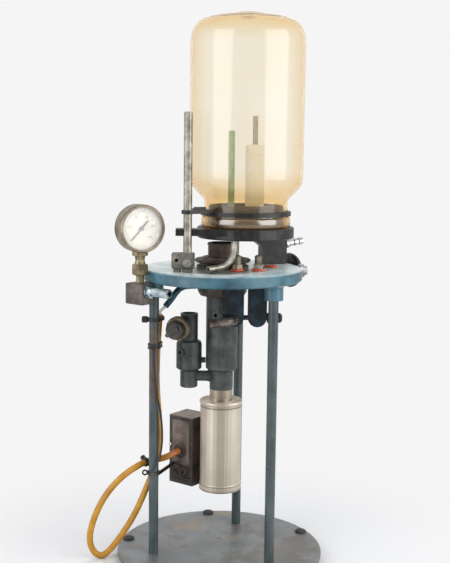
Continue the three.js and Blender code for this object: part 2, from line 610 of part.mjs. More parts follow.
function makeRodBlock() {
  const [left, right] = [rod.x - block.left, rod.x + block.right];
  const outline = [[left, blockFront], [right, blockFront], [right, rod.y + block.back],
    [left, rod.y + block.back]];
  const main = prism(outline, blockBottom, blockTop, block.corner);
  const stand = drum(block.footRadius, tableTop + gap, blockBottom + block.corner + overrun, coarse)
    .translate(rod.x, rod.y, 0);
  const screw = drum(block.screwRadius, tableTop + gap, blockBottom + block.corner + overrun, coarse)
    .translate(rod.x - block.screwOffset, rod.y - block.corner, 0);
  const bore = drum(rod.radius + gap, tableTop + block.stand, blockTop + overrun, coarse)
    .translate(rod.x, rod.y, 0);
  const inward = at(0, 1, 0);
  const hole = aim(drum(block.holeRadius, -overrun, block.holeDepth, small), inward,
    at(rod.x - block.holeOffset, blockFront, blockTop - block.holeDrop));
  const thread = aim(drum(clamp.shankRadius + gap, -overrun, block.front, small), inward,
    at(rod.x, blockFront, blockTop - clamp.drop));
  return build([main, stand, screw], [bore, hole, thread]);
}

function makeClampScrew() {
  const outward = at(0, -1, 0);
  const root = at(rod.x, blockFront, blockTop - clamp.drop);
  const inner = rod.radius + 2 * gap - block.front;
  const head = aim(turned([[0, inner], [clamp.shankRadius, inner], [clamp.shankRadius, gap],
    [clamp.headRadius, gap], [clamp.headRadius, clamp.headLength], [0, clamp.headLength + gap]],
  coarse), outward, root);
  const slot = slab(-clamp.headRadius - overrun, clamp.headRadius + overrun, -clamp.slotWidth / 2,
    clamp.slotWidth / 2, clamp.headLength - clamp.slotDepth, clamp.headLength + overrun)
    .rotateZ(radians(clamp.slotTurn));
  return build([head], [aim(slot, outward, root)]);
}

function makeRod() {
  const bottom = tableTop + gap + block.stand + gap;
  return turned([[0, bottom], [rod.radius, bottom], [rod.radius, bottom + rod.length - rod.crown],
    [rod.radius - rod.crown, bottom + rod.length], [0, bottom + rod.length]], coarse)
    .translate(rod.x, rod.y, 0);
}

const footWay = heading(collar.footTurn);
const footBack = heading(collar.footTurn + quarter);
const footPoint = (u, v) => at(collar.footX, collar.footY, 0)
  .addScaledVector(footWay, u).addScaledVector(footBack, v);

function makeCollar() {
  const disc = pill(collar.radius, collarBottom, collarTop, collar.edge, fine)
    .translate(collar.x, collar.y, 0);
  const ear = slab(-collar.earLeft, collar.x, -collar.earFront, -collar.earBack,
    collarTop - collar.earThickness, collarTop);
  const bore = drum(collar.bore, collarBottom - overrun, collarTop + overrun, medium)
    .translate(collar.x, collar.y, 0);
  const notch = drum(rod.radius + gap, collarBottom, collarTop + overrun, coarse)
    .translate(rod.x, rod.y, 0);
  const slot = slab(rod.x - rod.radius - gap, rod.x + rod.radius + gap, -collar.earFront - overrun,
    rod.y, collarBottom, collarTop + overrun);
  const low = tableTop + gap;
  const high = collarBottom + collar.edge + overrun;
  const web = [[0, low], [collar.footWidth, low], [collar.footWidth, high],
    [-collar.gussetReach, high], [-collar.gussetReach, collarBottom - collar.edge],
    [0, low + collar.gussetRoot - collar.edge]];
  const footPiece = prism(web, 0, collar.footDepth);
  const frame = new THREE.Matrix4().makeBasis(footWay, at(0, 0, 1), footBack.clone().negate());
  footPiece.applyMatrix4(frame);
  const corner = footPoint(0, collar.footDepth);
  footPiece.translate(corner.x, corner.y, 0);
  return build([disc, ear, footPiece], [bore, notch, slot]);
}

const barbWay = heading(barb.turn).multiplyScalar(Math.cos(radians(barb.rise)))
  .setZ(Math.sin(radians(barb.rise)));
const barbRoot = footPoint(collar.footWidth, barb.inset).setZ(collarBottom - barb.drop);

function makeBarb() {
  const start = barb.collarRadius * Math.sin(barbWay.angleTo(footWay)) + gap;
  const profile = [[0, start], [barb.collarRadius, start],
    [barb.collarRadius, start + barb.collarLength], [barb.radius - barb.rib,
      start + barb.collarLength]];
  const pitch = (barb.length - start - barb.collarLength) / barb.ribs;
  for (let i = 0; i < barb.ribs; i += 1) {
    const ribStart = start + barb.collarLength + i * pitch;
    profile.push([barb.radius, ribStart + pitch / 4], [barb.radius - barb.rib, ribStart + pitch]);
  }
  profile.push([barb.bore, barb.length], [barb.bore, barb.length - barb.boreDepth],
    [0, barb.length - barb.boreDepth]);
  return aim(turned(profile, coarse - 4), barbWay, barbRoot);
}

function makeRing() {
  const [low, high] = [ringBottom, ringBottom + ring.thickness];
  const hoop = turned([[ring.bore, low], [ring.radius, low], [ring.radius, high], [ring.bore, high]],
    fine).translate(collar.x, collar.y, 0);
  const earLow = low + ring.earRise;
  const earHigh = earLow + ring.earThickness;
  const way = at(collar.x - rod.x, collar.y - rod.y, 0);
  const turn = Math.atan2(way.y, way.x);
  const reach = way.length() - (ring.radius + ring.bore) / 2;
  const arm = slab(0, reach, -ring.earRadius, ring.earRadius, earLow, earHigh)
    .rotateZ(turn).translate(rod.x, rod.y, 0);
  const eye = drum(ring.earRadius, earLow, earHigh, coarse).translate(rod.x, rod.y, 0);
  const hole = drum(rod.radius + gap, low - overrun, earHigh + overrun, coarse)
    .translate(rod.x, rod.y, 0);
  const wedge = prism([[0, 0], [ring.wedgeLength, 0], [ring.wedgeLength, ring.wedgeHeight],
    [ring.wedgeLength / 3, ring.wedgeHeight]], 0, ring.wedgeWidth).rotateX(Math.PI / 2)
    .translate(rod.radius + gap + ring.wedgeGap, ring.wedgeWidth / 2, earHigh - overrun)
    .rotateZ(turn).translate(rod.x, rod.y, 0);
  const neck = drum(ring.bore, low - overrun, earHigh + ring.wedgeHeight + overrun, fine)
    .translate(collar.x, collar.y, 0);
  return build([hoop, arm, eye, wedge], [hole, neck]);
}

// Outer profile of the jar, from its mouth up; heights are counted from the mouth.
function jarProfile() {
  const step = jar.roll;
  const shoulderSpan = jar.shoulderTop - jar.neckTop;
  const neckShares = [[0.06, 0.1], [0.3, 0.28], [0.62, 0.52], [0.86, 0.78]];
  const crownSpan = jar.height - jar.bodyTop;
  const crownShares = [[0.985, 0.2], [0.93, 0.5], [0.84, 0.75], [0.66, 0.93]];
  const outline = [[jar.mouthRadius - step, 0], [jar.mouthRadius, step],
    [jar.mouthRadius, jar.mouthHeight - step], [jar.neckRadius, jar.mouthHeight],
    [jar.neckRadius, jar.neckTop]];
  for (const [wide, high] of neckShares) {
    outline.push([jar.neckRadius + wide * (jar.shoulderRadius - jar.neckRadius),
      jar.neckTop + high * shoulderSpan]);
  }
  outline.push([jar.shoulderRadius, jar.shoulderTop], [jar.bodyRadius, jar.bodyTop]);
  const crownDrop = jar.bodyRadius - jar.puntRadius;
  for (const [wide, high] of crownShares) {
    outline.push([jar.puntRadius + wide * crownDrop, jar.bodyTop + high * crownSpan]);
  }
  outline.push([jar.puntRadius + crownDrop / 3, jar.height]);
  return outline;
}

function makeJar() {
  const bottom = collarTop + gap;
  const outer = jarProfile();
  const top = jar.height;
  const punt = [[jar.puntRadius, top - jar.roll / 2], [jar.puntRadius - jar.roll, top - jar.puntDepth / 2],
    [jar.puntRadius - 3 * jar.roll, top - jar.puntDepth], [0, top - jar.puntDepth]];
  const inner = outer.slice(5, -1).map(([r, z]) => [r - jar.wall, Math.min(z, top - jar.puntDepth
    - jar.floorWall)]).reverse();
  inner.unshift([0, top - jar.puntDepth - jar.floorWall]);
  inner.push([jar.neckRadius - jar.wall, jar.neckTop], [jar.neckRadius - jar.wall, 0]);
  const profile = [...inner, ...outer, ...punt].map(([r, z]) => [r, z + bottom]);
  return turned(profile, fine - 8).translate(collar.x, collar.y, 0);
}

function makePlug() {
  const low = collarTop + gap;
  const high = low + plug.height;
  const main = turned([[0, low], [plug.radius - plug.edge, low], [plug.radius, low + plug.edge],
    [plug.radius, high - plug.lip], [plug.radius - plug.edge, high], [0, high]], medium)
    .translate(collar.x, collar.y, 0);
  const holes = [riser, standpipe].map((pipe) =>
    drum(pipe.radius + gap, low - overrun, high + overrun, coarse).translate(pipe.x, pipe.y, 0));
  return build([main], holes);
}

// A pipe that stands through the plug, open at its top.
function uprightPipe(pipe, bottom) {
  const top = collarTop + pipe.rise;
  return turned([[0, bottom], [pipe.radius, bottom], [pipe.radius, top], [pipe.bore, top],
    [pipe.bore, top - pipe.boreDepth], [0, top - pipe.boreDepth]], coarse - 4)
    .translate(pipe.x, pipe.y, 0);
}

function makeSleeve() {
  const bottom = collarTop + gap + plug.height + gap;
  const sleeveTop = collarTop + sleeve.rise;
  return turned([[standpipe.radius + gap, bottom], [sleeve.radius, bottom],
    [sleeve.radius, sleeveTop - sleeve.chamfer], [sleeve.radius - sleeve.chamfer, sleeveTop],
    [standpipe.radius + gap, sleeveTop]], coarse + 4).translate(standpipe.x, standpipe.y, 0);
}

// Unions and spout

// A washer round a seat, or a blanking plug with its own spigot.
function makeWasher(x, y, blank) {
  const low = tableTop + gap;
  const high = low + washer.thickness;
  const spigotBottom = tableTop - union.spigotDepth;
  const inner = blank ? union.spigotRadius : union.spigotRadius + gap;
  const rim = [[inner, low], [washer.radius - washer.bulge, low], [washer.radius, (low + high) / 2],
    [washer.radius - washer.bulge, high]];
  const spigot = [[0, spigotBottom], [inner, spigotBottom]];
  const profile = blank ? [...spigot, ...rim, [0, high]] : [...rim, [inner, high]];
  return turned(profile, coarse).translate(x, y, 0);
}

const unionBottom = tableTop + gap + washer.thickness + gap;
const unionTop = unionBottom + union.flatHeight + union.bodyHeight;

// A union with a hexagon foot and a round body, and on some a thin pipe up into the collar.
function makeUnion(x, y, piped) {
  const hexTop = unionBottom + union.flatHeight;
  const low = tableTop - union.spigotDepth;
  const hex = drum(union.flatRadius, unionBottom, hexTop, 6);
  const pipeTop = collarBottom + collar.thickness / 2;
  const pipe = [[union.pipeRadius, unionTop], [union.pipeRadius, pipeTop], [0, pipeTop]];
  const shaft = turned([[0, low], [union.spigotRadius, low], [union.spigotRadius, hexTop - gap],
    [union.bodyRadius, hexTop - gap], [union.bodyRadius, unionTop - union.pipeRadius],
    ...(piped ? pipe : [[union.pipeRadius, unionTop], [0, unionTop]])], coarse - 4);
  return build([hex, shaft]).translate(x, y, 0);
}

// The spout drops from the collar and turns over the table to point left.
const spoutShares = [[0, 0, 0], [0.28, 0.34, 0.02], [0.56, 0.6, 0.07], [0.8, 0.78, 0.22],
  [0.94, 0.92, 0.48], [0.99, 0.98, 0.74], [1, 1, 0.9], [1, 1, 1]];
const spoutRoute = between(at(spout.mouthX, spout.inset - table.radius, tableTop + spout.rise),
  at(spout.rootX, spout.rootY, collarBottom - gap), spoutShares);

// Rim fittings

function makeWheel() {
  const rim = new THREE.TorusGeometry(wheel.rimRadius, wheel.rimTube, small, medium + 2);
  const hub = pill(wheel.hubRadius, -wheel.hubLength / 2, wheel.hubLength / 2, gap, coarse);
  const web = drum(wheel.rimRadius, -wheel.web / 2, wheel.web / 2, medium);
  const grips = [];
  for (let i = 0; i < wheel.grips; i += 1) {
    const spot = onCircle(wheel.rimRadius + wheel.rimTube + wheel.gripRadius / 2,
      (360 * i) / wheel.grips, 0);
    grips.push(drum(wheel.gripRadius, -wheel.rimTube - overrun, wheel.rimTube + overrun, small)
      .translate(spot.x, spot.y, 0));
  }
  const shoulder = table.radius + gap + wheel.bodyLength + gap - wheelDistance;
  const spindle = turned([[0, table.radius - wheelDistance], [wheel.pinRadius,
    table.radius - wheelDistance], [wheel.pinRadius, shoulder], [wheel.spindleRadius, shoulder],
    [wheel.spindleRadius, 0], [0, 0]], small);
  const frame = new THREE.Matrix4().makeBasis(heading(wheel.turn + quarter), at(0, 0, 1),
    heading(wheel.turn));
  const spot = onCircle(wheelDistance, wheel.turn, wheelLevel);
  return build([rim, hub, web, spindle], grips).applyMatrix4(frame).translate(spot.x, spot.y, spot.z);
}

function makeWheelBody() {
  const start = table.radius + gap;
  const end = start + wheel.bodyLength;
  const inner = table.radius - table.rimBossReach / 2 + gap;
  const bore = wheel.pinRadius + gap;
  return aim(turned([[bore, inner], [wheel.spindleRadius, inner], [wheel.spindleRadius, start],
    [wheel.bodyRadius, start], [wheel.bodyRadius, end - gap], [wheel.bodyRadius - gap, end],
    [bore, end]], coarse), heading(wheel.turn), at(0, 0, wheelLevel));
}

function makeRimPlug() {
  const start = table.radius + gap;
  const end = start + rimPlug.length + rimPlug.noseLength;
  return aim(turned([[0, start - rimPlug.spigotDepth], [rimPlug.spigotRadius,
    start - rimPlug.spigotDepth], [rimPlug.spigotRadius, start], [rimPlug.radius, start],
    [rimPlug.radius, start + rimPlug.length], [rimPlug.noseRadius, start + rimPlug.length],
    [rimPlug.noseRadius, end], [rimPlug.bore, end], [rimPlug.bore, end - rimPlug.boreDepth],
    [0, end - rimPlug.boreDepth]], coarse), heading(rimPlug.turn), at(0, 0, rimPlugLevel));
}

// Gauge group

const blockSpot = onCircle(table.radius + gaugeBlock.clear, gaugeBlock.bearing, 0);
const blockWay = heading(gaugeBlock.turn);
const blockSide = heading(gaugeBlock.turn - quarter);

// The spigot runs from the rear face of the gauge block into the boss of the left leg.
function gaugeSpigot() {
  const boss = onCircle(legCircle, legAngles.leg_left, nozzleLevel);
  const way = blockSide.clone().negate();
  const middle = at(blockSpot.x, blockSpot.y, nozzleLevel);
  const shift = boss.clone().sub(middle).dot(blockWay);
  const start = middle.clone().addScaledVector(blockWay, shift)
    .addScaledVector(way, gaugeBlock.across / 2);
  const away = boss.clone().sub(start).dot(way);
  const length = away - table.bossRadius + (table.bossRadius - leg.radius) / 2;
  return { start, way, length };
}

function makeGaugeBlock() {
  const [half, wide] = [gaugeBlock.along / 2, gaugeBlock.across / 2];
  const main = prism([[-half, -wide], [half, -wide], [half, wide], [-half, wide]],
    gaugeBlockTop - gaugeBlock.height, gaugeBlockTop, gaugeBlock.bevel)
    .rotateZ(radians(gaugeBlock.turn)).translate(blockSpot.x, blockSpot.y, 0);
  const spigot = gaugeSpigot();
  const pipe = aim(drum(gaugeBlock.spigotRadius, -overrun, spigot.length, small), spigot.way,
    spigot.start);
  return build([main, pipe]);
}

function makeStem() {
  const low = gaugeBlockTop + gap;
  const hexLow = low + stem.nippleLength;
  const hexHigh = hexLow + stem.hexLength;
  const neckHigh = hexHigh + stem.neckLength;
  const high = neckHigh + stem.shoulderLength;
  const hex = pill(stem.hexRadius, hexLow, hexHigh, gap * 4, 6);
  const shaft = turned([[0, low], [stem.nippleRadius, low], [stem.nippleRadius, hexHigh - gap],
    [stem.neckRadius, hexHigh], [stem.waist, hexHigh + stem.neckLength / 2],
    [stem.neckRadius, neckHigh], [stem.shoulderRadius, neckHigh + gap], [stem.shoulderRadius, high],
    [0, high]], coarse);
  const cut = aim(drum(gauge.radius + gap, -gauge.radius, gauge.radius, fine), at(0, -1, 0),
    at(0, 0, gaugeLevel));
  return build([hex, shaft], [cut]).rotateZ(radians(gauge.turn)).translate(blockSpot.x, blockSpot.y, 0);
}

// Gauge pieces are made facing +Z with +Y up, and this group stands them up.
const gaugeGroup = new THREE.Group();
gaugeGroup.rotation.set(Math.PI / 2, 0, radians(gauge.turn), 'ZYX');
gaugeGroup.position.set(blockSpot.x, blockSpot.y, gaugeLevel);
apparatus.add(gaugeGroup);

const dialFloor = gauge.front - gauge.recess;

function makeGaugeCase() {
  const inner = gauge.radius - gauge.lip;
  return turned([[0, -gauge.back], [gauge.radius - gauge.edge, -gauge.back],
    [gauge.radius, gauge.edge - gauge.back], [gauge.radius, gauge.front - gauge.edge / 2],
    [gauge.radius - gauge.edge / 2, gauge.front], [gauge.lipRadius, gauge.front],
    [gauge.lipRadius, gauge.front - gauge.lip], [inner, gauge.front - gauge.lip],
    [inner, dialFloor], [0, dialFloor]], fine);
}

function makeDial() {
  const low = dialFloor + gap;
  return drum(gauge.radius - gauge.lip - gap, low, low + gauge.dialThickness, broad);
}

function makeGaugeGlass() {
  const high = gauge.front - gauge.lip - gap;
  return drum(gauge.radius - gauge.lip - gap, high - gauge.glassThickness, high, broad);
}

function makePointer() {
  const low = dialFloor + gap + gauge.dialThickness + gap;
  const hand = prism([[pointer.tip, -pointer.tipWidth / 2], [pointer.tip, pointer.tipWidth / 2],
    [0, pointer.rootWidth / 2], [-pointer.tail, pointer.rootWidth / 2],
    [-pointer.tail, -pointer.rootWidth / 2], [0, -pointer.rootWidth / 2]],
  low + pointer.lift, low + pointer.lift + pointer.thickness).rotateZ(radians(pointer.turn));
  return build([hand, drum(pointer.hubRadius, low, low + pointer.hubHeight, small + 4)]);
}

function makeNozzle() {
  const root = at(blockSpot.x, blockSpot.y, nozzleLevel)
    .addScaledVector(blockWay, gaugeBlock.along / 2);
  const hubEnd = gap + nozzle.washerLength + nozzle.hubLength;
  return aim(turned([[0, gap], [nozzle.washerRadius, gap],
    [nozzle.washerRadius, gap + nozzle.washerLength], [nozzle.hubRadius, gap + nozzle.washerLength],
    [nozzle.hubRadius, hubEnd - nozzle.edge], [nozzle.radius, hubEnd],
    [nozzle.radius, nozzle.length - nozzle.edge], [nozzle.radius - nozzle.edge, nozzle.length],
    [nozzle.bore, nozzle.length], [nozzle.bore, nozzle.length - nozzle.boreDepth],
    [0, nozzle.length - nozzle.boreDepth]], coarse + 4), blockWay, root);
}

// Relay box

const panelWay = heading(box.turn);
const boxBack = heading(box.turn + quarter);
const boxPoint = (u, v, z) => at(box.cornerX, box.cornerY, z)
  .addScaledVector(panelWay, -u).addScaledVector(boxBack, v);

// Stand a piece made in panel axes (x along the panel, y up, z out of it) at the box.
function onPanel(geometry) {
  const frame = new THREE.Matrix4().makeBasis(panelWay, at(0, 0, 1), boxBack.clone().negate());
  return geometry.applyMatrix4(frame).translate(box.cornerX, box.cornerY, 0);
}

function makeBox() {
  const outline = [[-box.width, boxBottom], [0, boxBottom], [0, boxBottom + box.height],
    [-box.width, boxBottom + box.height]];
  const shell = prism(outline, -box.depth, 0, box.edge);
  const window = slab(box.frame - box.width, -box.frame, boxBottom + box.frame,
    boxBottom + box.height - box.frame, -box.frameDepth, overrun);
  const seat = aim(drum(gland.seatRadius + gap, -box.frameDepth - gland.seatDepth, overrun, coarse),
    at(0, 0, 1), at(-box.width / 2, glandLevel, 0));
  return onPanel(build([shell], [window, seat]));
}

function makePanel() {
  const play = box.frame + gap;
  const plate = slab(play - box.width, -play, boxBottom + play, boxBottom + box.height - play,
    gap - box.frameDepth, -gap);
  const hole = drum(gland.seatRadius + gap, -box.frameDepth, overrun, coarse)
    .translate(-box.width / 2, glandLevel, 0);
  return onPanel(build([plate], [hole]));
}

function makeGland() {
  const deep = gap - box.frameDepth - gland.seatDepth;
  return onPanel(turned([[0, deep], [gland.seatRadius, deep], [gland.seatRadius, 0],
    [gland.radius, 0], [gland.radius, gland.reach - gland.edge],
    [gland.radius - gland.edge, gland.reach], [0, gland.reach]], coarse + 4)
    .translate(-box.width / 2, glandLevel, 0));
}

const legSpot = onCircle(legCircle, legAngles.leg_left, 0);

// The strap clips round the left leg, with an eye on one side and an arm to the box on the other.
function makeStrap() {
  const [low, high] = [strapLevel, strapLevel + strap.height];
  const inner = leg.radius + gap;
  const outer = inner + strap.thickness;
  const hoop = drum(outer, low, high, coarse + 4).translate(legSpot.x, legSpot.y, 0);
  const bore = drum(inner, low - overrun, high + overrun, coarse + 4).translate(legSpot.x, legSpot.y, 0);
  const edge = boxPoint(box.width, 0, 0);
  const way = edge.clone().sub(legSpot).setZ(0);
  const turn = Math.atan2(way.y, way.x);
  const arm = slab(0, way.length(), -outer, -inner, low, high)
    .rotateZ(turn).translate(legSpot.x, legSpot.y, 0);
  const eye = (radius, depth) => aim(drum(radius, -depth / 2, depth / 2, coarse), at(0, 1, 0),
    at(legSpot.x - strap.eyeReach, legSpot.y, (low + high) / 2));
  const tab = slab(-strap.eyeReach, -inner, -strap.thickness / 2, strap.thickness / 2, low, high)
    .translate(legSpot.x, legSpot.y, 0);
  const clearBox = onPanel(slab(-box.width - gap, gap, boxBottom - gap, boxBottom + box.height,
    -box.depth, gap));
  return build([hoop, arm, tab, eye(strap.eyeRadius, strap.thickness)],
    [bore, eye(strap.eyeBore, strap.thickness + overrun), clearBox]);
}

// Hose, ties, feed pipe and sleeve

// From the gland down to the bench and up to the strap, in a loose loop.
const looseRoute = [[-59.9, 8.8, 150.5], [-62.3, 5.6, 150.5], [-66, 0.7, 150], [-76, -2.5, 145.5],
  [-88, -1, 141.5], [-100, -3, 139.5], [-110, -9, 137.5], [-118, -14, 134], [-130, -19, 127],
  [-144, -22, 114.9], [-158.2, -24, 97.8], [-170, -25, 76.8], [-178.5, -25, 54.4],
  [-182.4, -24, 34], [-180.3, -20, 17.3], [-173.5, -18, 7], [-165, -17, 5], [-156.5, -18, 12],
  [-143.9, -20, 28], [-131.9, -21, 46.5], [-120, -20, 67], [-109.6, -17.5, 89.5],
  [-102.6, -14, 106.5], [-97, -11.3, 120], [-94.5, -10.8, 132]];
// Up beside the left leg: its place off the leg's axis, and its share of the climb to the feed pipe.
const climbRoute = [[2.2, 14, 0.08], [7.2, 14, 0.21], [6.2, 14, 0.33], [4.2, 14, 0.45],
  [2.7, 14, 0.58], [3.2, 14, 0.72], [3.9, 13.8, 0.8], [5.1, 13.4, 0.88], [6.1, 12.8, 0.95],
  [7.1, 11.8, 1]];
const benchLevel = hose.radius + hose.lift;
const sag = (glandLevel - benchLevel) / (looseRoute[0][2] - benchLevel);
const climbFrom = strapLevel + strap.height;
const climb = tableBottom - feed.mouthDrop - feed.hoseDrop - climbFrom;
const hosePoints = [
  ...looseRoute.map(([x, y, z]) => at(x, y, benchLevel + sag * (z - benchLevel))),
  ...climbRoute.map(([x, y, share]) => at(legSpot.x + x, legSpot.y + y, climbFrom + share * climb)),
];
const hoseCurve = new THREE.CatmullRomCurve3(hosePoints, false, 'centripetal');

// The point of the hose's upright run at a level, seen from above.
function hoseAt(level) {
  const count = hosePoints.length;
  for (let i = count - 1; i > 0; i -= 1) {
    const [low, high] = [hosePoints[i - 1], hosePoints[i]];
    if (low.z <= level && high.z >= level) {
      return low.clone().lerp(high, (level - low.z) / (high.z - low.z));
    }
  }
  return hosePoints[count - 1].clone();
}

// An outline that wraps two circles like a pulled tie, left out of the circles by a clearance.
function wrapOutline(first, firstRadius, second, secondRadius, sides) {
  const points = [];
  for (const [centre, radius] of [[first, firstRadius], [second, secondRadius]]) {
    for (let i = 0; i < sides; i += 1) {
      const angle = (2 * Math.PI * i) / sides;
      points.push([centre.x + radius * Math.cos(angle), centre.y + radius * Math.sin(angle)]);
    }
  }
  points.sort((a, b) => a[0] - b[0] || a[1] - b[1]);
  const half = (list) => {
    const chain = [];
    for (const point of list) {
      while (chain.length > 1) {
        const [a, b] = chain.slice(-2);
        const turn = (b[0] - a[0]) * (point[1] - a[1]) - (b[1] - a[1]) * (point[0] - a[0]);
        if (turn > 0) break;
        chain.pop();
      }
      chain.push(point);
    }
    return chain.slice(0, -1);
  };
  return [...half(points), ...half([...points].reverse())];
}

function makeWrap(level, height, groove) {
  const hoseSpot = hoseAt(level + height / 2);
  const legInner = leg.radius + gap;
  const hoseInner = hose.radius + tie.slack;
  const wrap = (extra) => wrapOutline(legSpot, legInner + extra, hoseSpot, hoseInner + extra, coarse);
  const bore = prism(wrap(0), level - overrun, level + height + overrun);
  if (groove === 0) return [prism(wrap(tie.thickness), level, level + height), bore];
  const edge = (height - tie.valley) / 2;
  const outer = [prism(wrap(tie.thickness), level, level + edge),
    prism(wrap(tie.thickness - groove), level + edge - groove, level + height - edge + groove),
    prism(wrap(tie.thickness), level + height - edge, level + height)];
  return [build(outer), bore];
}

function makeTieUpper() {
  const level = tableBottom - tie.drop;
  const [band, bore] = makeWrap(level, tie.height, 0);
  const root = legSpot.clone().setZ(level + tie.height / 2);
  const reach = leg.radius + gap + tie.thickness / 2;
  const knobPiece = aim(pill(tie.knobRadius, reach, reach + tie.knobLength, tie.knobRound, small),
    at(-1, 0, 0), root);
  return build([band, knobPiece], [bore]);
}

// A thin wire hangs from the band down the front of the leg to the eye of the strap.
function makeTieMiddle() {
  const level = tableBottom - tie.bandDrop;
  const [band, bore] = makeWrap(level, tie.bandHeight, tie.bandGroove);
  const top = legSpot.clone().setZ(level + tie.wireRadius);
  const low = strapLevel + strap.height + gap;
  const depth = leg.radius + tie.wireRadius + gap;
  const points = wireShares.map(([across, front, rise]) => at(
    legSpot.x + across * leg.radius, legSpot.y - front * depth,
    low + rise * (top.z - low)));
  return build([band, tube(points, tie.wireRadius, tie.wireSides, tie.wireSpan)], [bore]);
}

function makeHoseTie() {
  const share = hoseCurve.getUtoTmapping(tie.ringShare, 0);
  const spot = hoseCurve.getPoint(share);
  const way = hoseCurve.getTangent(share);
  const inner = hose.radius + tie.slack;
  const ringPiece = turned([[inner, -tie.ringLength / 2], [tie.ringRadius, -tie.ringLength / 2],
    [tie.ringRadius, tie.ringLength / 2], [inner, tie.ringLength / 2]], coarse);
  const head = slab(inner, inner + tie.headSize, -tie.headSize / 2, tie.headSize / 2,
    -tie.headSize / 2, tie.headSize / 2);
  return aim(build([ringPiece, head.rotateZ(radians(tie.headTurn))]), way, spot);
}

const feedRoot = onCircle(flange.radius + feed.gap, feed.turn, tableBottom - feed.drop);
const feedMouth = onCircle(legCircle - feed.inset, feed.bearing, tableBottom - feed.mouthDrop);
const feedRoute = between(feedMouth, feedRoot, feedShares);

// The clear sleeve bends from the end of the hose into the mouth of the feed pipe.
function makeHoseSleeve() {
  const end = hosePoints[hosePoints.length - 1];
  const way = end.clone().sub(hosePoints[hosePoints.length - 2]).normalize();
  const [mouth, next] = feedRoute.slice(0, 2).map(([x, y, z]) => at(x, y, z));
  const inward = next.sub(mouth).normalize();
  const points = [end.clone().addScaledVector(way, gap), end.clone().addScaledVector(way, clear.entry),
    mouth.clone().addScaledVector(inward, -gap), mouth.clone().addScaledVector(inward, clear.entry)];
  return tube(points, clear.radius, clear.sides, clear.span);
}

place('base_plate', makeBase(), looks.baseGrey);
for (let i = 0; i < foot.count; i += 1) {
  const spot = onCircle(footCircle, foot.firstAngle + (360 * i) / foot.count, 0);
  place(`foot_${i + 1}`, makeFoot(), looks.rubber).position.copy(spot);
}
for (const [name, angle] of Object.entries(legAngles)) {
  place(name, makeLeg(name), looks.legBlue).position.copy(onCircle(legCircle, angle, 0));
}
place('table_plate', makeTable(), looks.teal);

place('valve_flange', makeFlange(), looks.casting);
place('main_body', makeBody(), looks.casting);
place('canister_shell', makeCan(), looks.silver);
place('canister_cap', makeCanCap(), looks.silver);
place('side_valve_body', makeSideValve(), looks.casting);
place('valve_bonnet', makeBonnet(), looks.casting);
place('valve_knob', makeKnob(), looks.darkKnob);
place('link_pipe', makeLink(), looks.casting);
place('clevis_bracket', makeClevis(), looks.blueEnamel);
place('pivot_pin', makePin(), looks.steel);
place('drain_tube', openTube(drainRoute, drain.radius, drain.bore, drain.boreDepth, drain.sides,
  drain.span), looks.steel);

place('cap_stack', makeStack(), looks.casting);
place('valve_cap', makeCap(), looks.brown);
place('rod_block', makeRodBlock(), looks.casting);
place('clamp_screw', makeClampScrew(), looks.steel);
place('guide_rod', makeRod(), looks.steel);
for (const [name, [x, y]] of Object.entries(seats)) {
  place(name, makeWasher(x, y, name === 'washer_right'), looks.orange);
}
place('union_left', makeUnion(...seats.washer_left, true), looks.olive);
place('union_middle', makeUnion(...seats.washer_middle, false), looks.olive);
place('spout_tube', openTube(spoutRoute, spout.radius, spout.bore, spout.boreDepth, spout.sides,
  spout.span), looks.steel);
place('jar_collar', makeCollar(), looks.blackSteel);
place('hose_barb', makeBarb(), looks.chrome);

place('ring_clamp', makeRing(), looks.blackSteel);
place('jar', makeJar(), looks.amber);
place('neck_plug', makePlug(), looks.green);
place('riser_tube', uprightPipe(riser, collarBottom), looks.cream);
place('standpipe', uprightPipe(standpipe, collarBottom), looks.cream);
place('standpipe_sleeve', makeSleeve(), looks.cream);

place('gauge_case', makeGaugeCase(), looks.gaugeBrown, gaugeGroup);
place('gauge_glass', makeGaugeGlass(), looks.glass, gaugeGroup);
place('gauge_dial', makeDial(), looks.dial, gaugeGroup);
place('gauge_pointer', makePointer(), looks.darkKnob, gaugeGroup);
place('gauge_stem', makeStem(), looks.tan);
place('gauge_block', makeGaugeBlock(), looks.gaugeBrown);
place('outlet_nozzle', makeNozzle(), looks.chrome);

place('box_body', makeBox(), looks.boxBlack);
place('box_panel', makePanel(), looks.boxBrown);
place('box_gland', makeGland(), looks.boxBlack);
place('box_bracket', makeStrap(), looks.steel);
place('rear_wheel', makeWheel(), looks.boxBlack);
place('wheel_body', makeWheelBody(), looks.brass);
place('rim_plug', makeRimPlug(), looks.chrome);

place('tie_upper', makeTieUpper(), looks.rubber);
place('tie_middle', makeTieMiddle(), looks.rubber);
place('hose_tie', makeHoseTie(), looks.rubber);
place('yellow_hose', tube(hosePoints, hose.radius, hose.sides, hose.span), looks.yellow);
place('hose_sleeve', makeHoseSleeve(), looks.clear);
place('feed_tube', openTube(feedRoute, feed.radius, feed.bore, feed.boreDepth, feed.sides,
  feed.span), looks.blueEnamel);

export default apparatus;
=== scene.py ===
import json
import math

import bmesh
import bpy
from mathutils import Matrix, Vector


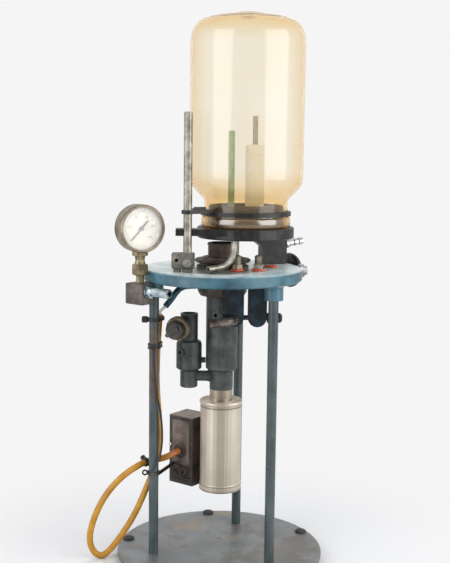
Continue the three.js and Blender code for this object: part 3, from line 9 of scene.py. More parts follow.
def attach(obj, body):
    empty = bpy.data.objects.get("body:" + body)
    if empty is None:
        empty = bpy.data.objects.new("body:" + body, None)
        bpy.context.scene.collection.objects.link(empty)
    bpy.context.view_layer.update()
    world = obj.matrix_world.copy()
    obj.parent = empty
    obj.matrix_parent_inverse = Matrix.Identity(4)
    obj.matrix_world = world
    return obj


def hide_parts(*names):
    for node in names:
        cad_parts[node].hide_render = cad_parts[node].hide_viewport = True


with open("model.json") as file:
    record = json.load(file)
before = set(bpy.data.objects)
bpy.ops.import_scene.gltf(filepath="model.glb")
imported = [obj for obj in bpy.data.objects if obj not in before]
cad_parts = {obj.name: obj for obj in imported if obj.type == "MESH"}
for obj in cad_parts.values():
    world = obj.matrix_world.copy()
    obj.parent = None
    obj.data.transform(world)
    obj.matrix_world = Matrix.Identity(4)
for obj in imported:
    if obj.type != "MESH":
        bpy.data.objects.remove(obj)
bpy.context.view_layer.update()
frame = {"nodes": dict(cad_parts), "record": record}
nodes = frame["nodes"]
scene = bpy.context.scene
MM = 0.001
SMOOTH_ANGLE = math.radians(32)


# Camera: the photograph's viewpoint, in millimetres, with its focal length in pixels

EYE = Vector((0.0, -1389.24, 578.80))
RIGHT = Vector((0.99993, -0.00100, 0.01205))
UP = Vector((-0.01182, 0.13035, 0.99140))
FOCAL_PX = 1011.6
PHOTO_LONG_SIDE_PX = 563
SENSOR = 36.0
NEAREST_SEEN_M = 0.01


def make_camera():
    data = bpy.data.cameras.new("photo_camera")
    data.sensor_fit = "AUTO"
    data.sensor_width = SENSOR
    data.lens = SENSOR * FOCAL_PX / PHOTO_LONG_SIDE_PX
    data.clip_start = NEAREST_SEEN_M
    camera = bpy.data.objects.new("photo_camera", data)
    scene.collection.objects.link(camera)
    back = RIGHT.cross(UP).normalized()
    up = back.cross(RIGHT).normalized()
    turn = Matrix((RIGHT.normalized(), up, back)).transposed()
    camera.matrix_world = Matrix.Translation(EYE * MM) @ turn.to_4x4()
    scene.camera = camera


# Mesh helpers

ROUTE_STEPS = 4


def catmull(points, steps):
    """Points on a centripetal Catmull-Rom curve through the given ones."""
    pts = [Vector(p) for p in points]
    pts = [2 * pts[0] - pts[1]] + pts + [2 * pts[-1] - pts[-2]]
    out = []
    for a, b, c, d in zip(pts, pts[1:], pts[2:], pts[3:]):
        t0 = 0.0
        t1 = t0 + (b - a).length ** 0.5
        t2 = t1 + (c - b).length ** 0.5
        t3 = t2 + (d - c).length ** 0.5
        for i in range(steps):
            t = t1 + (t2 - t1) * i / steps
            ab = a.lerp(b, (t - t0) / (t1 - t0))
            bc = b.lerp(c, (t - t1) / (t2 - t1))
            cd = c.lerp(d, (t - t2) / (t3 - t2))
            abc = ab.lerp(bc, (t - t0) / (t2 - t0))
            bcd = bc.lerp(cd, (t - t1) / (t3 - t1))
            out.append(abc.lerp(bcd, (t - t1) / (t2 - t1)))
    out.append(pts[-2].copy())
    return out


def swept(name, lines, radius, roundness):
    """One mesh of round wires along the given lines, all in millimetres."""
    curve = bpy.data.curves.new(name, "CURVE")
    curve.dimensions = "3D"
    curve.bevel_depth = radius * MM
    curve.bevel_resolution = roundness
    curve.use_fill_caps = True
    for line in lines:
        spline = curve.splines.new("POLY")
        spline.points.add(len(line) - 1)
        for point, spot in zip(spline.points, line):
            point.co = (*(spot * MM), 1.0)
    holder = bpy.data.objects.new(name, curve)
    data = bpy.data.meshes.new_from_object(holder)
    bpy.data.objects.remove(holder)
    return data


def written(name, mesh):
    """The finished mesh data of a bmesh, with its faces turned out."""
    bmesh.ops.recalc_face_normals(mesh, faces=mesh.faces)
    data = bpy.data.meshes.new(name)
    mesh.to_mesh(data)
    mesh.free()
    return data


def lathe(name, profile, sides):
    """A closed body turned about Z from its whole outline, radius and height in millimetres.

    A radius of 0 makes one vertex, on the axis."""
    mesh = bmesh.new()
    rings = []
    for radius, height in profile:
        angles = [2 * math.pi * i / sides for i in range(sides if radius else 1)]
        rings.append([mesh.verts.new(Vector((radius * math.cos(a), radius * math.sin(a),
                                             height)) * MM) for a in angles])
    for low, high in zip(rings, rings[1:] + rings[:1]):
        for i in range(sides):
            j = i + 1
            corners = (low[i % len(low)], low[j % len(low)],
                       high[j % len(high)], high[i % len(high)])
            face = list(dict.fromkeys(corners))
            if len(face) > 2:
                mesh.faces.new(face)
    return written(name, mesh)


def shade_smooth(data):
    for polygon in data.polygons:
        polygon.use_smooth = True
    data.set_sharp_from_angle(angle=SMOOTH_ANGLE)


def placed(name, data):
    piece = bpy.data.objects.new(name, data)
    scene.collection.objects.link(piece)
    return piece


def add_trim(name, data, finish):
    """A small smooth piece of scene.py's own, fixed to the stand."""
    data.materials.clear()
    data.materials.append(finish)
    shade_smooth(data)
    piece = placed(name, data)
    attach(piece, "stand")


# Hose: its route repeats the CAD's, in millimetres

HOSE_RADIUS = 4.5
HOSE_ROUNDNESS = 4
HOSE_ROUTE = [
    (-59.9, 8.8, 150.5), (-62.3, 5.6, 150.5), (-66, 0.7, 150), (-76, -2.5, 145.5),
    (-88, -1, 141.5), (-100, -3, 139.5), (-110, -9, 137.5), (-118, -14, 134),
    (-130, -19, 127), (-144, -22, 114.9), (-158.2, -24, 97.8), (-170, -25, 76.8),
    (-178.5, -25, 54.4), (-182.4, -24, 34), (-180.3, -20, 17.3), (-173.5, -18, 7),
    (-165, -17, 5), (-156.5, -18, 12), (-143.9, -20, 28), (-131.9, -21, 46.5),
    (-120, -20, 67), (-109.6, -17.5, 89.5), (-102.6, -14, 106.5), (-97, -11.3, 120),
    (-94.5, -10.8, 132), (-90.53, -10.85, 149.52), (-85.53, -10.85, 177.99),
    (-86.53, -10.85, 204.27), (-88.53, -10.85, 230.55), (-90.03, -10.85, 259.02),
    (-89.53, -10.85, 289.68), (-88.83, -11.05, 307.2), (-87.63, -11.45, 324.72),
    (-86.63, -12.05, 340.05), (-85.63, -13.05, 351),
]


def make_hose():
    line = catmull(HOSE_ROUTE, ROUTE_STEPS)
    hose = placed("gas_hose", swept("gas_hose", [line], HOSE_RADIUS, HOSE_ROUNDNESS))
    shade_smooth(hose.data)
    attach(hose, "stand")
    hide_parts("yellow_hose")
    return hose


# Jar: a smooth lathe of its profile, radius and height above the mouth in millimetres

JAR_AXIS = (31.0, 0.0, 473.3)
JAR_MOUTH = [(58.2, 0), (60.3, 0.9), (61.2, 3), (61.2, 11), (60, 13), (57.3, 14)]
JAR_SHOULDER = [(57.3, 24), (57.3, 33), (57.9, 37), (60.9, 40.6), (67.4, 47.5), (73.4, 54.5),
                (76.4, 60.7), (77.4, 66), (77.5, 100)]
JAR_CROWN = [(77.8, 228), (77.7, 244), (76.8, 254), (74.6, 262), (70.6, 269), (64.6, 274.4),
             (56.5, 277.9), (46, 280.2), (33, 282.9), (19, 285.7), (8, 287.1), (2, 287.5)]
JAR_WALL = 3.0
JAR_SIDES = 128
PROFILE_STEPS = 5


def smooth_part(points):
    line = catmull([(r, z, 0) for r, z in points], PROFILE_STEPS)
    return [(point.x, min(point.y, points[-1][1])) for point in line]


def offset_inwards(line, wall):
    """The same profile set in by the wall, measured across it."""
    points = [Vector(point) for point in line]
    out = []
    for before, here, after in zip(points[:1] + points, points, points[1:] + points[-1:]):
        along = (after - before).normalized()
        spot = here + Vector((-along.y, along.x)) * wall
        if spot.x > wall:
            out.append((spot.x, spot.y))
    return out


def make_jar():
    body = smooth_part(JAR_SHOULDER) + smooth_part(JAR_CROWN)
    inner = offset_inwards(body, JAR_WALL)
    tops = [(0, JAR_CROWN[-1][1]), (0, inner[-1][1])]
    mouth = (inner[0][0], 0)
    data = lathe("amber_jar", [*JAR_MOUTH, *body, *tops, *inner[::-1], mouth], JAR_SIDES)
    data.transform(Matrix.Translation(Vector(JAR_AXIS) * MM))
    shade_smooth(data)
    jar = placed("amber_jar", data)
    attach(jar, "bell")
    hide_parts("jar")
    return jar


# Plug: the rim of its top, which stands above the ring of the clamp, with heights from the bench

PLUG_TOP = [(51.2, 497.4), (51.2, 500.2), (49.6, 502.2), (46, 502.8), (42.5, 501.8), (41, 500),
            (41, 497.4)]


def make_plug_top(finishes):
    data = lathe("plug_top", PLUG_TOP, JAR_SIDES)
    data.transform(Matrix.Translation(Vector((JAR_AXIS[0], 0, 0)) * MM))
    add_trim("plug_top", data, finishes["plug_green"])


# Materials

def rgb(red, green, blue):
    """A colour as seen in the photograph, 0 to 255, as the shader's linear values."""
    def linear(value):
        share = value / 255
        return share / 12.92 if share <= 0.04045 else ((share + 0.055) / 1.055) ** 2.4
    return (linear(red), linear(green), linear(blue), 1.0)


def grey(value):
    """A shader's grey, 0 to 1 and linear."""
    return (value, value, value, 1.0)


WHITE = grey(1.0)


class Nodes:
    """A node tree under construction, with short names for the nodes that are used often."""

    def __init__(self, tree):
        self.tree = tree

    def feed(self, socket, value):
        if isinstance(value, bpy.types.NodeSocket):
            self.tree.links.new(value, socket)
        else:
            socket.default_value = value

    def node(self, kind, **inputs):
        node = self.tree.nodes.new(kind)
        for key, value in inputs.items():
            self.feed(node.inputs[key.replace("_", " ")], value)
        return node

    def math(self, operation, first, second=None):
        node = self.tree.nodes.new("ShaderNodeMath")
        node.operation = operation
        self.feed(node.inputs[0], first)
        if second is not None:
            self.feed(node.inputs[1], second)
        return node.outputs[0]

    def times(self, first, second):
        return self.math("MULTIPLY", first, second)

    def plus(self, first, second):
        return self.math("ADD", first, second)

    def larger(self, first, second):
        return self.math("MAXIMUM", first, second)

    def length(self, vector):
        node = self.node("ShaderNodeVectorMath", Vector=vector)
        node.operation = "LENGTH"
        return node.outputs["Value"]

    def span(self, source, low=0.0, high=1.0, start=0.0, end=1.0, interpolation="LINEAR"):
        """The source's range from low to high carried over to start and end, and held there."""
        node = self.node("ShaderNodeMapRange", Value=source, From_Min=low, From_Max=high,
                         To_Min=start, To_Max=end)
        node.interpolation_type = interpolation
        return node.outputs["Result"]

    def blend(self, share, first, second):
        node = self.tree.nodes.new("ShaderNodeMixShader")
        for socket, value in zip(node.inputs, (share, first, second)):
            self.feed(socket, value)
        return node.outputs[0]


class Shader(Nodes):
    """A Principled material under construction, whose patterns lie in the object's own place."""

    def __init__(self, name, **sockets):
        self.material = bpy.data.materials.new(name)
        self.material.use_nodes = True
        super().__init__(self.material.node_tree)
        self.main = self.tree.nodes["Principled BSDF"]
        for key, value in sockets.items():
            self.main.inputs[key.replace("_", " ")].default_value = value
        self.place = self.tree.nodes.new("ShaderNodeTexCoord").outputs["Object"]

    def link(self, source, socket):
        self.tree.links.new(source, self.main.inputs[socket])

    def mapped(self, scale, location=(0, 0, 0)):
        return self.node("ShaderNodeMapping", Vector=self.place, Location=location,
                         Scale=scale).outputs[0]

    def noise(self, scale, detail=4.0, roughness=0.55, place=None):
        return self.node("ShaderNodeTexNoise", Vector=place or self.place, Scale=scale,
                         Detail=detail, Roughness=roughness).outputs["Fac"]

    def ramp(self, source, *stops):
        node = self.node("ShaderNodeValToRGB", Fac=source)
        elements = node.color_ramp.elements
        while len(elements) < len(stops):
            elements.new(1.0)
        for element, (position, colour) in zip(elements, stops):
            element.position = position
            element.color = colour
        return node.outputs["Color"]

    def mask(self, source, low, high):
        """0 below low, 1 above high; the other way round if low is above high."""
        if low > high:
            return self.span(source, high, low, 1.0, 0.0)
        return self.span(source, low, high)

    def spots(self, scale, detail, roughness, low, high):
        """Where a noise of this grain rises from low to high."""
        return self.mask(self.noise(scale, detail, roughness), low, high)

    def mix(self, share, first, second, blend="MIX"):
        node = self.tree.nodes.new("ShaderNodeMix")
        node.data_type = "RGBA"
        node.blend_type = blend
        for key, value in (("Factor", share), ("A", first), ("B", second)):
            self.feed(next(s for s in node.inputs if s.name == key and s.enabled), value)
        return next(s for s in node.outputs if s.enabled)

    def shaded(self, colour, shade):
        return self.mix(1.0, colour, shade, "MULTIPLY")

    def axis(self, which, source=None):
        return self.node("ShaderNodeSeparateXYZ", Vector=source or self.place).outputs[which]

    def facing(self, which):
        normal = self.tree.nodes.new("ShaderNodeNewGeometry").outputs["Normal"]
        return self.axis(which, normal)

    def grazing(self):
        return self.node("ShaderNodeLayerWeight", Blend=0.5).outputs["Facing"]

    def colour(self, source):
        self.link(source, "Base Color")

    def base(self):
        """The colour so far."""
        return self.main.inputs["Base Color"].links[0].from_socket

    def rough(self, source, low, high):
        self.link(self.span(source, start=low, end=high), "Roughness")

    def bump(self, height, distance, strength=0.6):
        node = self.node("ShaderNodeBump", Height=height, Strength=strength,
                         Distance=distance * MM)
        self.link(node.outputs["Normal"], "Normal")


PATCH_STOPS = (0.32, 0.5, 0.7)
GRAIN_STOPS = (0.3, 0.7)


def mottled(name, dark, middle, light, patch=60, grain=900, metallic=0.0, rough=(0.4, 0.6),
            bump=0.05, grain_depth=0.12):
    """Broad patches of three tones, a fine grain over them, and the grain's bump."""
    shader = Shader(name, Metallic=metallic)
    patches = shader.noise(patch, 5)
    fine = shader.noise(grain, 3)
    tone = shader.ramp(patches, *zip(PATCH_STOPS, (dark, middle, light)))
    shade = shader.ramp(fine, *zip(GRAIN_STOPS, (grey(1 - grain_depth), WHITE)))
    shader.colour(shader.shaded(tone, shade))
    shader.rough(patches, *rough)
    shader.bump(fine, bump)
    return shader


def rubbery(name, dark, middle, light, rough=(0.55, 0.8)):
    return mottled(name, dark, middle, light, patch=120, grain=1400, rough=rough,
                   bump=0.08).material


def casting(name, dark, middle, light, rough=(0.45, 0.7)):
    """Paint over a rough casting, grimy in its hollows and rubbed bright in spots."""
    shader = mottled(name, dark, middle, light, patch=70, grain=900, metallic=0.25, rough=rough,
                     bump=0.22, grain_depth=0.25)
    grime = shader.spots(34, 6, 0.65, 0.42, 0.3)
    worn = shader.spots(190, 4, 0.7, 0.64, 0.7)
    dirty = shader.mix(shader.times(grime, 0.7), shader.base(), rgb(40, 42, 40))
    shader.colour(shader.mix(shader.times(worn, 0.6), dirty, light))
    return shader.material


def plain_metal(name, dark, middle, light, metallic=0.7, rough=(0.25, 0.5), along=(60, 60, 60)):
    """Bare or plated metal, with the lines that its making left along it."""
    shader = mottled(name, dark, middle, light, patch=90, grain=1200, metallic=metallic,
                     rough=rough, bump=0.04)
    lines = shader.noise(1.0, 4, 0.6, shader.mapped(along))
    shade = shader.ramp(lines, (0.3, grey(0.78)), (0.65, WHITE))
    shader.colour(shader.shaded(shader.base(), shade))
    return shader.material


# Places on the object that its finishes need, in metres, as coordinates of the part's own frame.
# A pair gives where a mask is 0 and where it is 1.

# The oily spill: an ellipse on the table's top about the valve
SPILL_SHIFT = (0.01, 0.035, 0)
SPILL_SCALE = (0.9, 1, 0)
SPILL_REACH = (0.066, 0.03)

LEFT_LEG_X = (-0.07, -0.085)
LEG_STAIN_FROM = (0.225, 0.245)
LEG_STAIN_UP_TO = (0.345, 0.325)

# The base's stains gather on its right, and its tan patches at the back near one x
BASE_RIGHT_X = (-0.02, 0.09)
BASE_BACK_Y = (0.02, 0.08)
BASE_TAN_X = -0.02
BASE_TAN_REACH = (0.07, 0.04)

CANISTER_NECK = (0.2315, 0.2335)
# Low edge, high edge and how far each is blurred
CANISTER_RIM_RUST = (0.229, 0.232, 0.0015)
BAND_BLUR = 0.0008
# Low edge, high edge, strength and colour of the dark bands round the canister; the first band is
# painted shade in the groove under the top rim
CANISTER_BANDS = [
    (0.2205, 0.2225, 0.75, (84, 74, 62)), (0.1085, 0.1100, 0.6, (120, 98, 80)),
    (0.098, 0.1035, 0.6, (128, 108, 90)),
]

JAR_BEAD = (0.4885, 0.4865)
JAR_CLEAR_NECK = (0.545, 0.51)
JAR_AMBER_NECK = (0.55, 0.508)
JAR_AMBER_CROWN = (0.732, 0.756)
# The brown mark at the top of the jar: an ellipsoid, wider from front to back
JAR_MARK_SCALE = (1, 0.6, 1)
JAR_MARK_SHIFT = Vector((-JAR_AXIS[0], -4.8, -757)) * MM
JAR_MARK_REACH = (0.013, 0.007)
JAR_CLARITY = 0.93
NECK_CLARITY = 0.97
GLASS_IOR = 1.45
BEAD_IOR = 2.15

HOSE_AT_BOX_X = (-0.1, -0.066)
HOSE_AT_BOX_Z = (0.17, 0.155)
PANEL_LOW = (0.136, 0.124)


def table_teal():
    """Teal sides, and a top painted pale for the light on it and its grazing reflection, with worn
    chips and a brown oily spill about the valve.
    """
    shader = mottled("table_teal", rgb(46, 76, 88), rgb(60, 98, 112), rgb(76, 120, 134), patch=40,
                     grain=700, rough=(0.22, 0.4))
    # Painted light: the top's pale tones stand in for the light falling on it and its reflection
    # at a graze
    worn_lit_top = shader.ramp(shader.noise(26, 6), (0.3, rgb(150, 172, 174)), (0.46, rgb(204, 222, 224)),
                      (0.58, rgb(228, 238, 238)), (0.7, rgb(150, 152, 142)))
    worn = shader.mix(shader.spots(140, 6, 0.7, 0.6, 0.65), worn_lit_top, rgb(92, 78, 66))
    away = shader.length(shader.mapped(SPILL_SCALE, SPILL_SHIFT))
    ring = shader.plus(shader.mask(away, *SPILL_REACH), shader.noise(42, 5, 0.65))
    oily = shader.times(shader.mask(ring, 0.86, 1.2), 0.8)
    worn = shader.mix(oily, worn, rgb(96, 84, 72))
    grime = shader.times(shader.spots(55, 6, 0.7, 0.58, 0.7), 0.6)
    side = shader.mix(grime, shader.base(), rgb(84, 92, 92))
    # Upward faces take the top's painted light
    up = shader.mask(shader.facing("Z"), 0.6, 0.9)
    shader.colour(shader.mix(up, side, worn))
    return shader.material


def leg_paint():
    """Grey-blue paint with streaks and rust, and a brown stain half way up the left leg."""
    shader = mottled("leg_paint", rgb(54, 65, 67), rgb(69, 81, 83), rgb(84, 96, 98), patch=22,
                     grain=500, rough=(0.2, 0.36), metallic=0.25)
    streaks = shader.noise(1.0, 5, 0.6, shader.mapped((420, 420, 14)))
    streaked = shader.mix(shader.mask(streaks, 0.5, 0.62), shader.base(), rgb(70, 78, 80))
    rust = shader.mix(shader.spots(160, 5, 0.65, 0.64, 0.7), streaked, rgb(104, 74, 56))
    height = shader.axis("Z")
    left = shader.mask(shader.axis("X"), *LEFT_LEG_X)
    between = shader.times(shader.mask(height, *LEG_STAIN_FROM),
                           shader.mask(height, *LEG_STAIN_UP_TO))
    stain = shader.times(between, left)
    brown = shader.ramp(shader.noise(120, 5), (0.35, rgb(70, 58, 50)), (0.6, rgb(96, 82, 70)))
    shader.colour(shader.mix(shader.times(stain, 0.8), rust, brown))
    return shader.material


def base_paint():
    """Worn grey paint: stains, mostly on the right, tan patches at the back and a brown edge."""
    shader = mottled("base_paint", rgb(96, 98, 98), rgb(114, 117, 118), rgb(130, 134, 136),
                     patch=18, grain=600, rough=(0.32, 0.52), metallic=0.2)
    right = shader.times(shader.mask(shader.axis("X"), *BASE_RIGHT_X), 0.12)
    wide = shader.mask(shader.plus(shader.noise(15, 6, 0.62), right), 0.57, 0.68)
    stains = shader.mix(shader.times(wide, 0.6), shader.base(), rgb(86, 77, 66))
    blotches = shader.mix(shader.spots(52, 7, 0.7, 0.58, 0.68), stains, rgb(90, 78, 66))
    back = shader.times(shader.mask(shader.axis("Y"), *BASE_BACK_Y), 0.13)
    aside = shader.math("ABSOLUTE", shader.plus(shader.axis("X"), -BASE_TAN_X))
    patches = shader.noise(36, 6, 0.62, shader.mapped((0.6, 1, 1)))
    middle_back = shader.times(back, shader.mask(aside, *BASE_TAN_REACH))
    tan = shader.mask(shader.plus(patches, middle_back), 0.6, 0.7)
    blotches = shader.mix(shader.times(tan, 0.6), blotches, rgb(138, 120, 98))
    rusty = shader.mix(shader.spots(260, 5, 0.7, 0.68, 0.72), blotches, rgb(112, 74, 50))
    edge = shader.mask(shader.facing("Z"), 0.7, 0.4)
    shader.colour(shader.mix(shader.times(edge, 0.75), rusty, rgb(92, 76, 64)))
    return shader.material


def canister_metal():
    """Spun metal with a browned neck, painted shade in the groove under the rim, rust about both
    rims, and a painted reflection that darkens it where it faces the eye.
    """
    shader = Shader("canister_metal", Metallic=0.85)
    rings = shader.noise(1.0, 3, 0.6, shader.mapped((3, 3, 900)))
    broad = shader.noise(12, 4, 0.55)
    tone = shader.ramp(broad, (0.35, rgb(196, 186, 172)), (0.55, rgb(208, 198, 184)),
                       (0.7, rgb(216, 208, 196)))
    shade = shader.ramp(rings, (0.35, grey(0.94)), (0.65, WHITE))
    specks = shader.times(shader.spots(70, 6, 0.7, 0.68, 0.76), 0.4)
    metal = shader.mix(specks, tone, rgb(142, 124, 100))
    height = shader.axis("Z")

    def band(low, high, blur=BAND_BLUR):
        return shader.times(shader.mask(height, low - blur, low + blur),
                            shader.mask(height, high + blur, high - blur))
    rust = shader.times(shader.spots(80, 5, 0.7, 0.46, 0.6), 0.8)
    metal = shader.mix(shader.times(band(*CANISTER_RIM_RUST), rust), metal, rgb(132, 92, 56))
    # The first band paints shade into the groove under the top rim
    for low, high, strength, colour in CANISTER_BANDS:
        metal = shader.mix(shader.times(band(low, high), strength), metal, rgb(*colour))
    neck = shader.times(shader.mask(height, *CANISTER_NECK), 0.8)
    metal = shader.mix(neck, metal, rgb(158, 146, 130))
    # Painted reflection: the metal's colour is darker where it faces the eye, standing in for the
    # dark front mirrored in it
    painted_reflection = shader.ramp(shader.grazing(), (0.0, (0.56, 0.54, 0.52, 1.0)), (0.13, WHITE))
    shader.colour(shader.shaded(shader.shaded(metal, shade), painted_reflection))
    shader.rough(broad, 0.44, 0.5)
    shader.bump(rings, 0.015)
    return shader.material


def jar_amber():
    """Old clear glass with a haze, whose amber tint deepens where the eye grazes it."""
    shader = Shader("jar_amber", Roughness=0.05, IOR=1.03, Coat_Roughness=0.16)
    height = shader.axis("Z")
    grazing = shader.grazing()
    gloss = shader.mask(grazing, 0.95, 0.6)
    bead = shader.mask(height, *JAR_BEAD)
    shader.link(shader.larger(gloss, bead), "Coat Weight")
    shader.link(shader.plus(shader.times(bead, BEAD_IOR - GLASS_IOR), GLASS_IOR), "Coat IOR")
    shader.link(shader.mix(bead, WHITE, rgb(236, 222, 180)), "Coat Tint")
    clear = shader.times(shader.mask(height, *JAR_CLEAR_NECK), NECK_CLARITY)
    shader.link(shader.larger(clear, JAR_CLARITY), "Transmission Weight")
    pale = shader.ramp(shader.noise(9, 4, 0.6), (0.35, rgb(252, 247, 232)),
                       (0.65, rgb(253, 249, 240)))
    tinted = shader.mix(shader.mask(grazing, 0.3, 1.0), pale, rgb(246, 222, 176))
    tinted = shader.mix(shader.mask(grazing, 0.84, 0.99), tinted, rgb(226, 194, 144))
    crown = shader.mask(height, *JAR_AMBER_CROWN)
    ends = shader.larger(crown, shader.mask(height, *JAR_AMBER_NECK))
    warm = shader.mix(shader.times(ends, 0.75), tinted, rgb(250, 224, 172))
    away = shader.length(shader.mapped(JAR_MARK_SCALE, JAR_MARK_SHIFT))
    mark = shader.times(shader.mask(away, *JAR_MARK_REACH), 0.75)
    shader.colour(shader.mix(mark, warm, rgb(176, 120, 58)))
    ripple = shader.noise(1.0, 2, 0.5, shader.mapped((30, 30, 8)))
    shader.bump(ripple, 0.5, 0.2)
    return shader.material


def window_glass():
    """A thin clear window: mostly see-through, with its gloss and a faint smear."""
    shader = Shader("window_glass", IOR=GLASS_IOR, Coat_Weight=0.4)
    smear = shader.noise(60, 4)
    shader.colour(shader.ramp(smear, (0.3, rgb(248, 249, 247)), (0.7, rgb(254, 254, 254))))
    shader.rough(smear, 0.04, 0.12)
    shader.link(shader.span(smear, start=0.05, end=0.12), "Alpha")
    return shader.material


def clear_sleeve():
    shader = Shader("clear_sleeve", IOR=1.3, Transmission_Weight=0.7)
    smear = shader.noise(300, 4)
    shader.colour(shader.ramp(smear, (0.3, rgb(196, 198, 192)), (0.7, rgb(236, 236, 230))))
    shader.rough(smear, 0.1, 0.3)
    return shader.material


def hose_yellow():
    """Yellow rubber in patches, browned by heat beside the box."""
    shader = Shader("hose_yellow", Specular_IOR_Level=0.5)
    patches = shader.noise(45, 5)
    tone = shader.ramp(patches, (0.3, rgb(152, 104, 20)), (0.5, rgb(176, 126, 30)),
                       (0.7, rgb(197, 148, 48)))
    dirt = shader.mix(shader.spots(180, 5, 0.7, 0.6, 0.68), tone, rgb(150, 106, 34))
    at_box = shader.times(shader.mask(shader.axis("X"), *HOSE_AT_BOX_X),
                          shader.mask(shader.axis("Z"), *HOSE_AT_BOX_Z))
    shader.colour(shader.mix(shader.times(at_box, 0.9), dirt, rgb(178, 108, 58)))
    shader.rough(patches, 0.3, 0.5)
    shader.bump(shader.noise(700, 3), 0.05)
    return shader.material


def box_brown():
    """The panel is grimy low down, where the wires lie on it."""
    shader = mottled("box_brown", rgb(92, 80, 71), rgb(118, 105, 95), rgb(140, 127, 116),
                     grain=800, rough=(0.35, 0.55), metallic=0.3)
    scuffs = shader.noise(1.0, 6, 0.65, shader.mapped((60, 60, 260)))
    scuffed = shader.mix(shader.mask(scuffs, 0.58, 0.7), shader.base(), rgb(82, 72, 64))
    low = shader.plus(shader.mask(shader.axis("Z"), *PANEL_LOW), shader.noise(120, 4))
    shader.colour(shader.mix(shader.mask(low, 0.8, 1.2), scuffed, rgb(50, 42, 36)))
    return shader.material


def box_black():
    """The frame and sides are near black, and the top is worn to brown and painted lighter for the
    light falling on it from above.
    """
    shader = mottled("box_black", rgb(36, 33, 30), rgb(50, 46, 42), rgb(72, 66, 58), patch=90,
                     rough=(0.35, 0.55), bump=0.06)
    # Painted light: the top's worn brown is made lighter for the light falling from above
    worn_lit_top = shader.ramp(shader.noise(70, 5), (0.35, rgb(94, 79, 67)), (0.6, rgb(132, 115, 99)))
    side = shader.ramp(shader.noise(60, 4), (0.35, rgb(48, 38, 32)), (0.65, rgb(78, 62, 52)))
    sided = shader.mix(shader.mask(shader.facing("X"), 0.5, 0.7), shader.base(), side)
    shader.colour(shader.mix(shader.mask(shader.facing("Z"), 0.6, 0.9), sided, worn_lit_top))
    return shader.material


def dial_white():
    shader = Shader("dial_white", Roughness=0.6, Specular_IOR_Level=0.2)
    tone = shader.ramp(shader.noise(40, 5), (0.3, rgb(236, 232, 218)), (0.65, rgb(244, 241, 231)))
    specks = shader.times(shader.spots(420, 4, 0.7, 0.68, 0.72), 0.5)
    shader.colour(shader.mix(specks, tone, rgb(168, 158, 128)))
    return shader.material


MADE_FINISHES = {
    "leg_blue_paint": leg_paint, "base_grey_paint": base_paint, "table_teal_paint": table_teal,
    "canister_metal": canister_metal, "jar_amber": jar_amber, "gauge_window": window_glass,
    "dial_white": dial_white, "box_black": box_black, "box_brown": box_brown,
    "hose_yellow": hose_yellow, "sleeve_clear": clear_sleeve,
}

# Along a drawn tube or rod the noise is short across and long down its length
TUBE_LINES = (300, 300, 12)
ROD_LINES = (500, 500, 9)

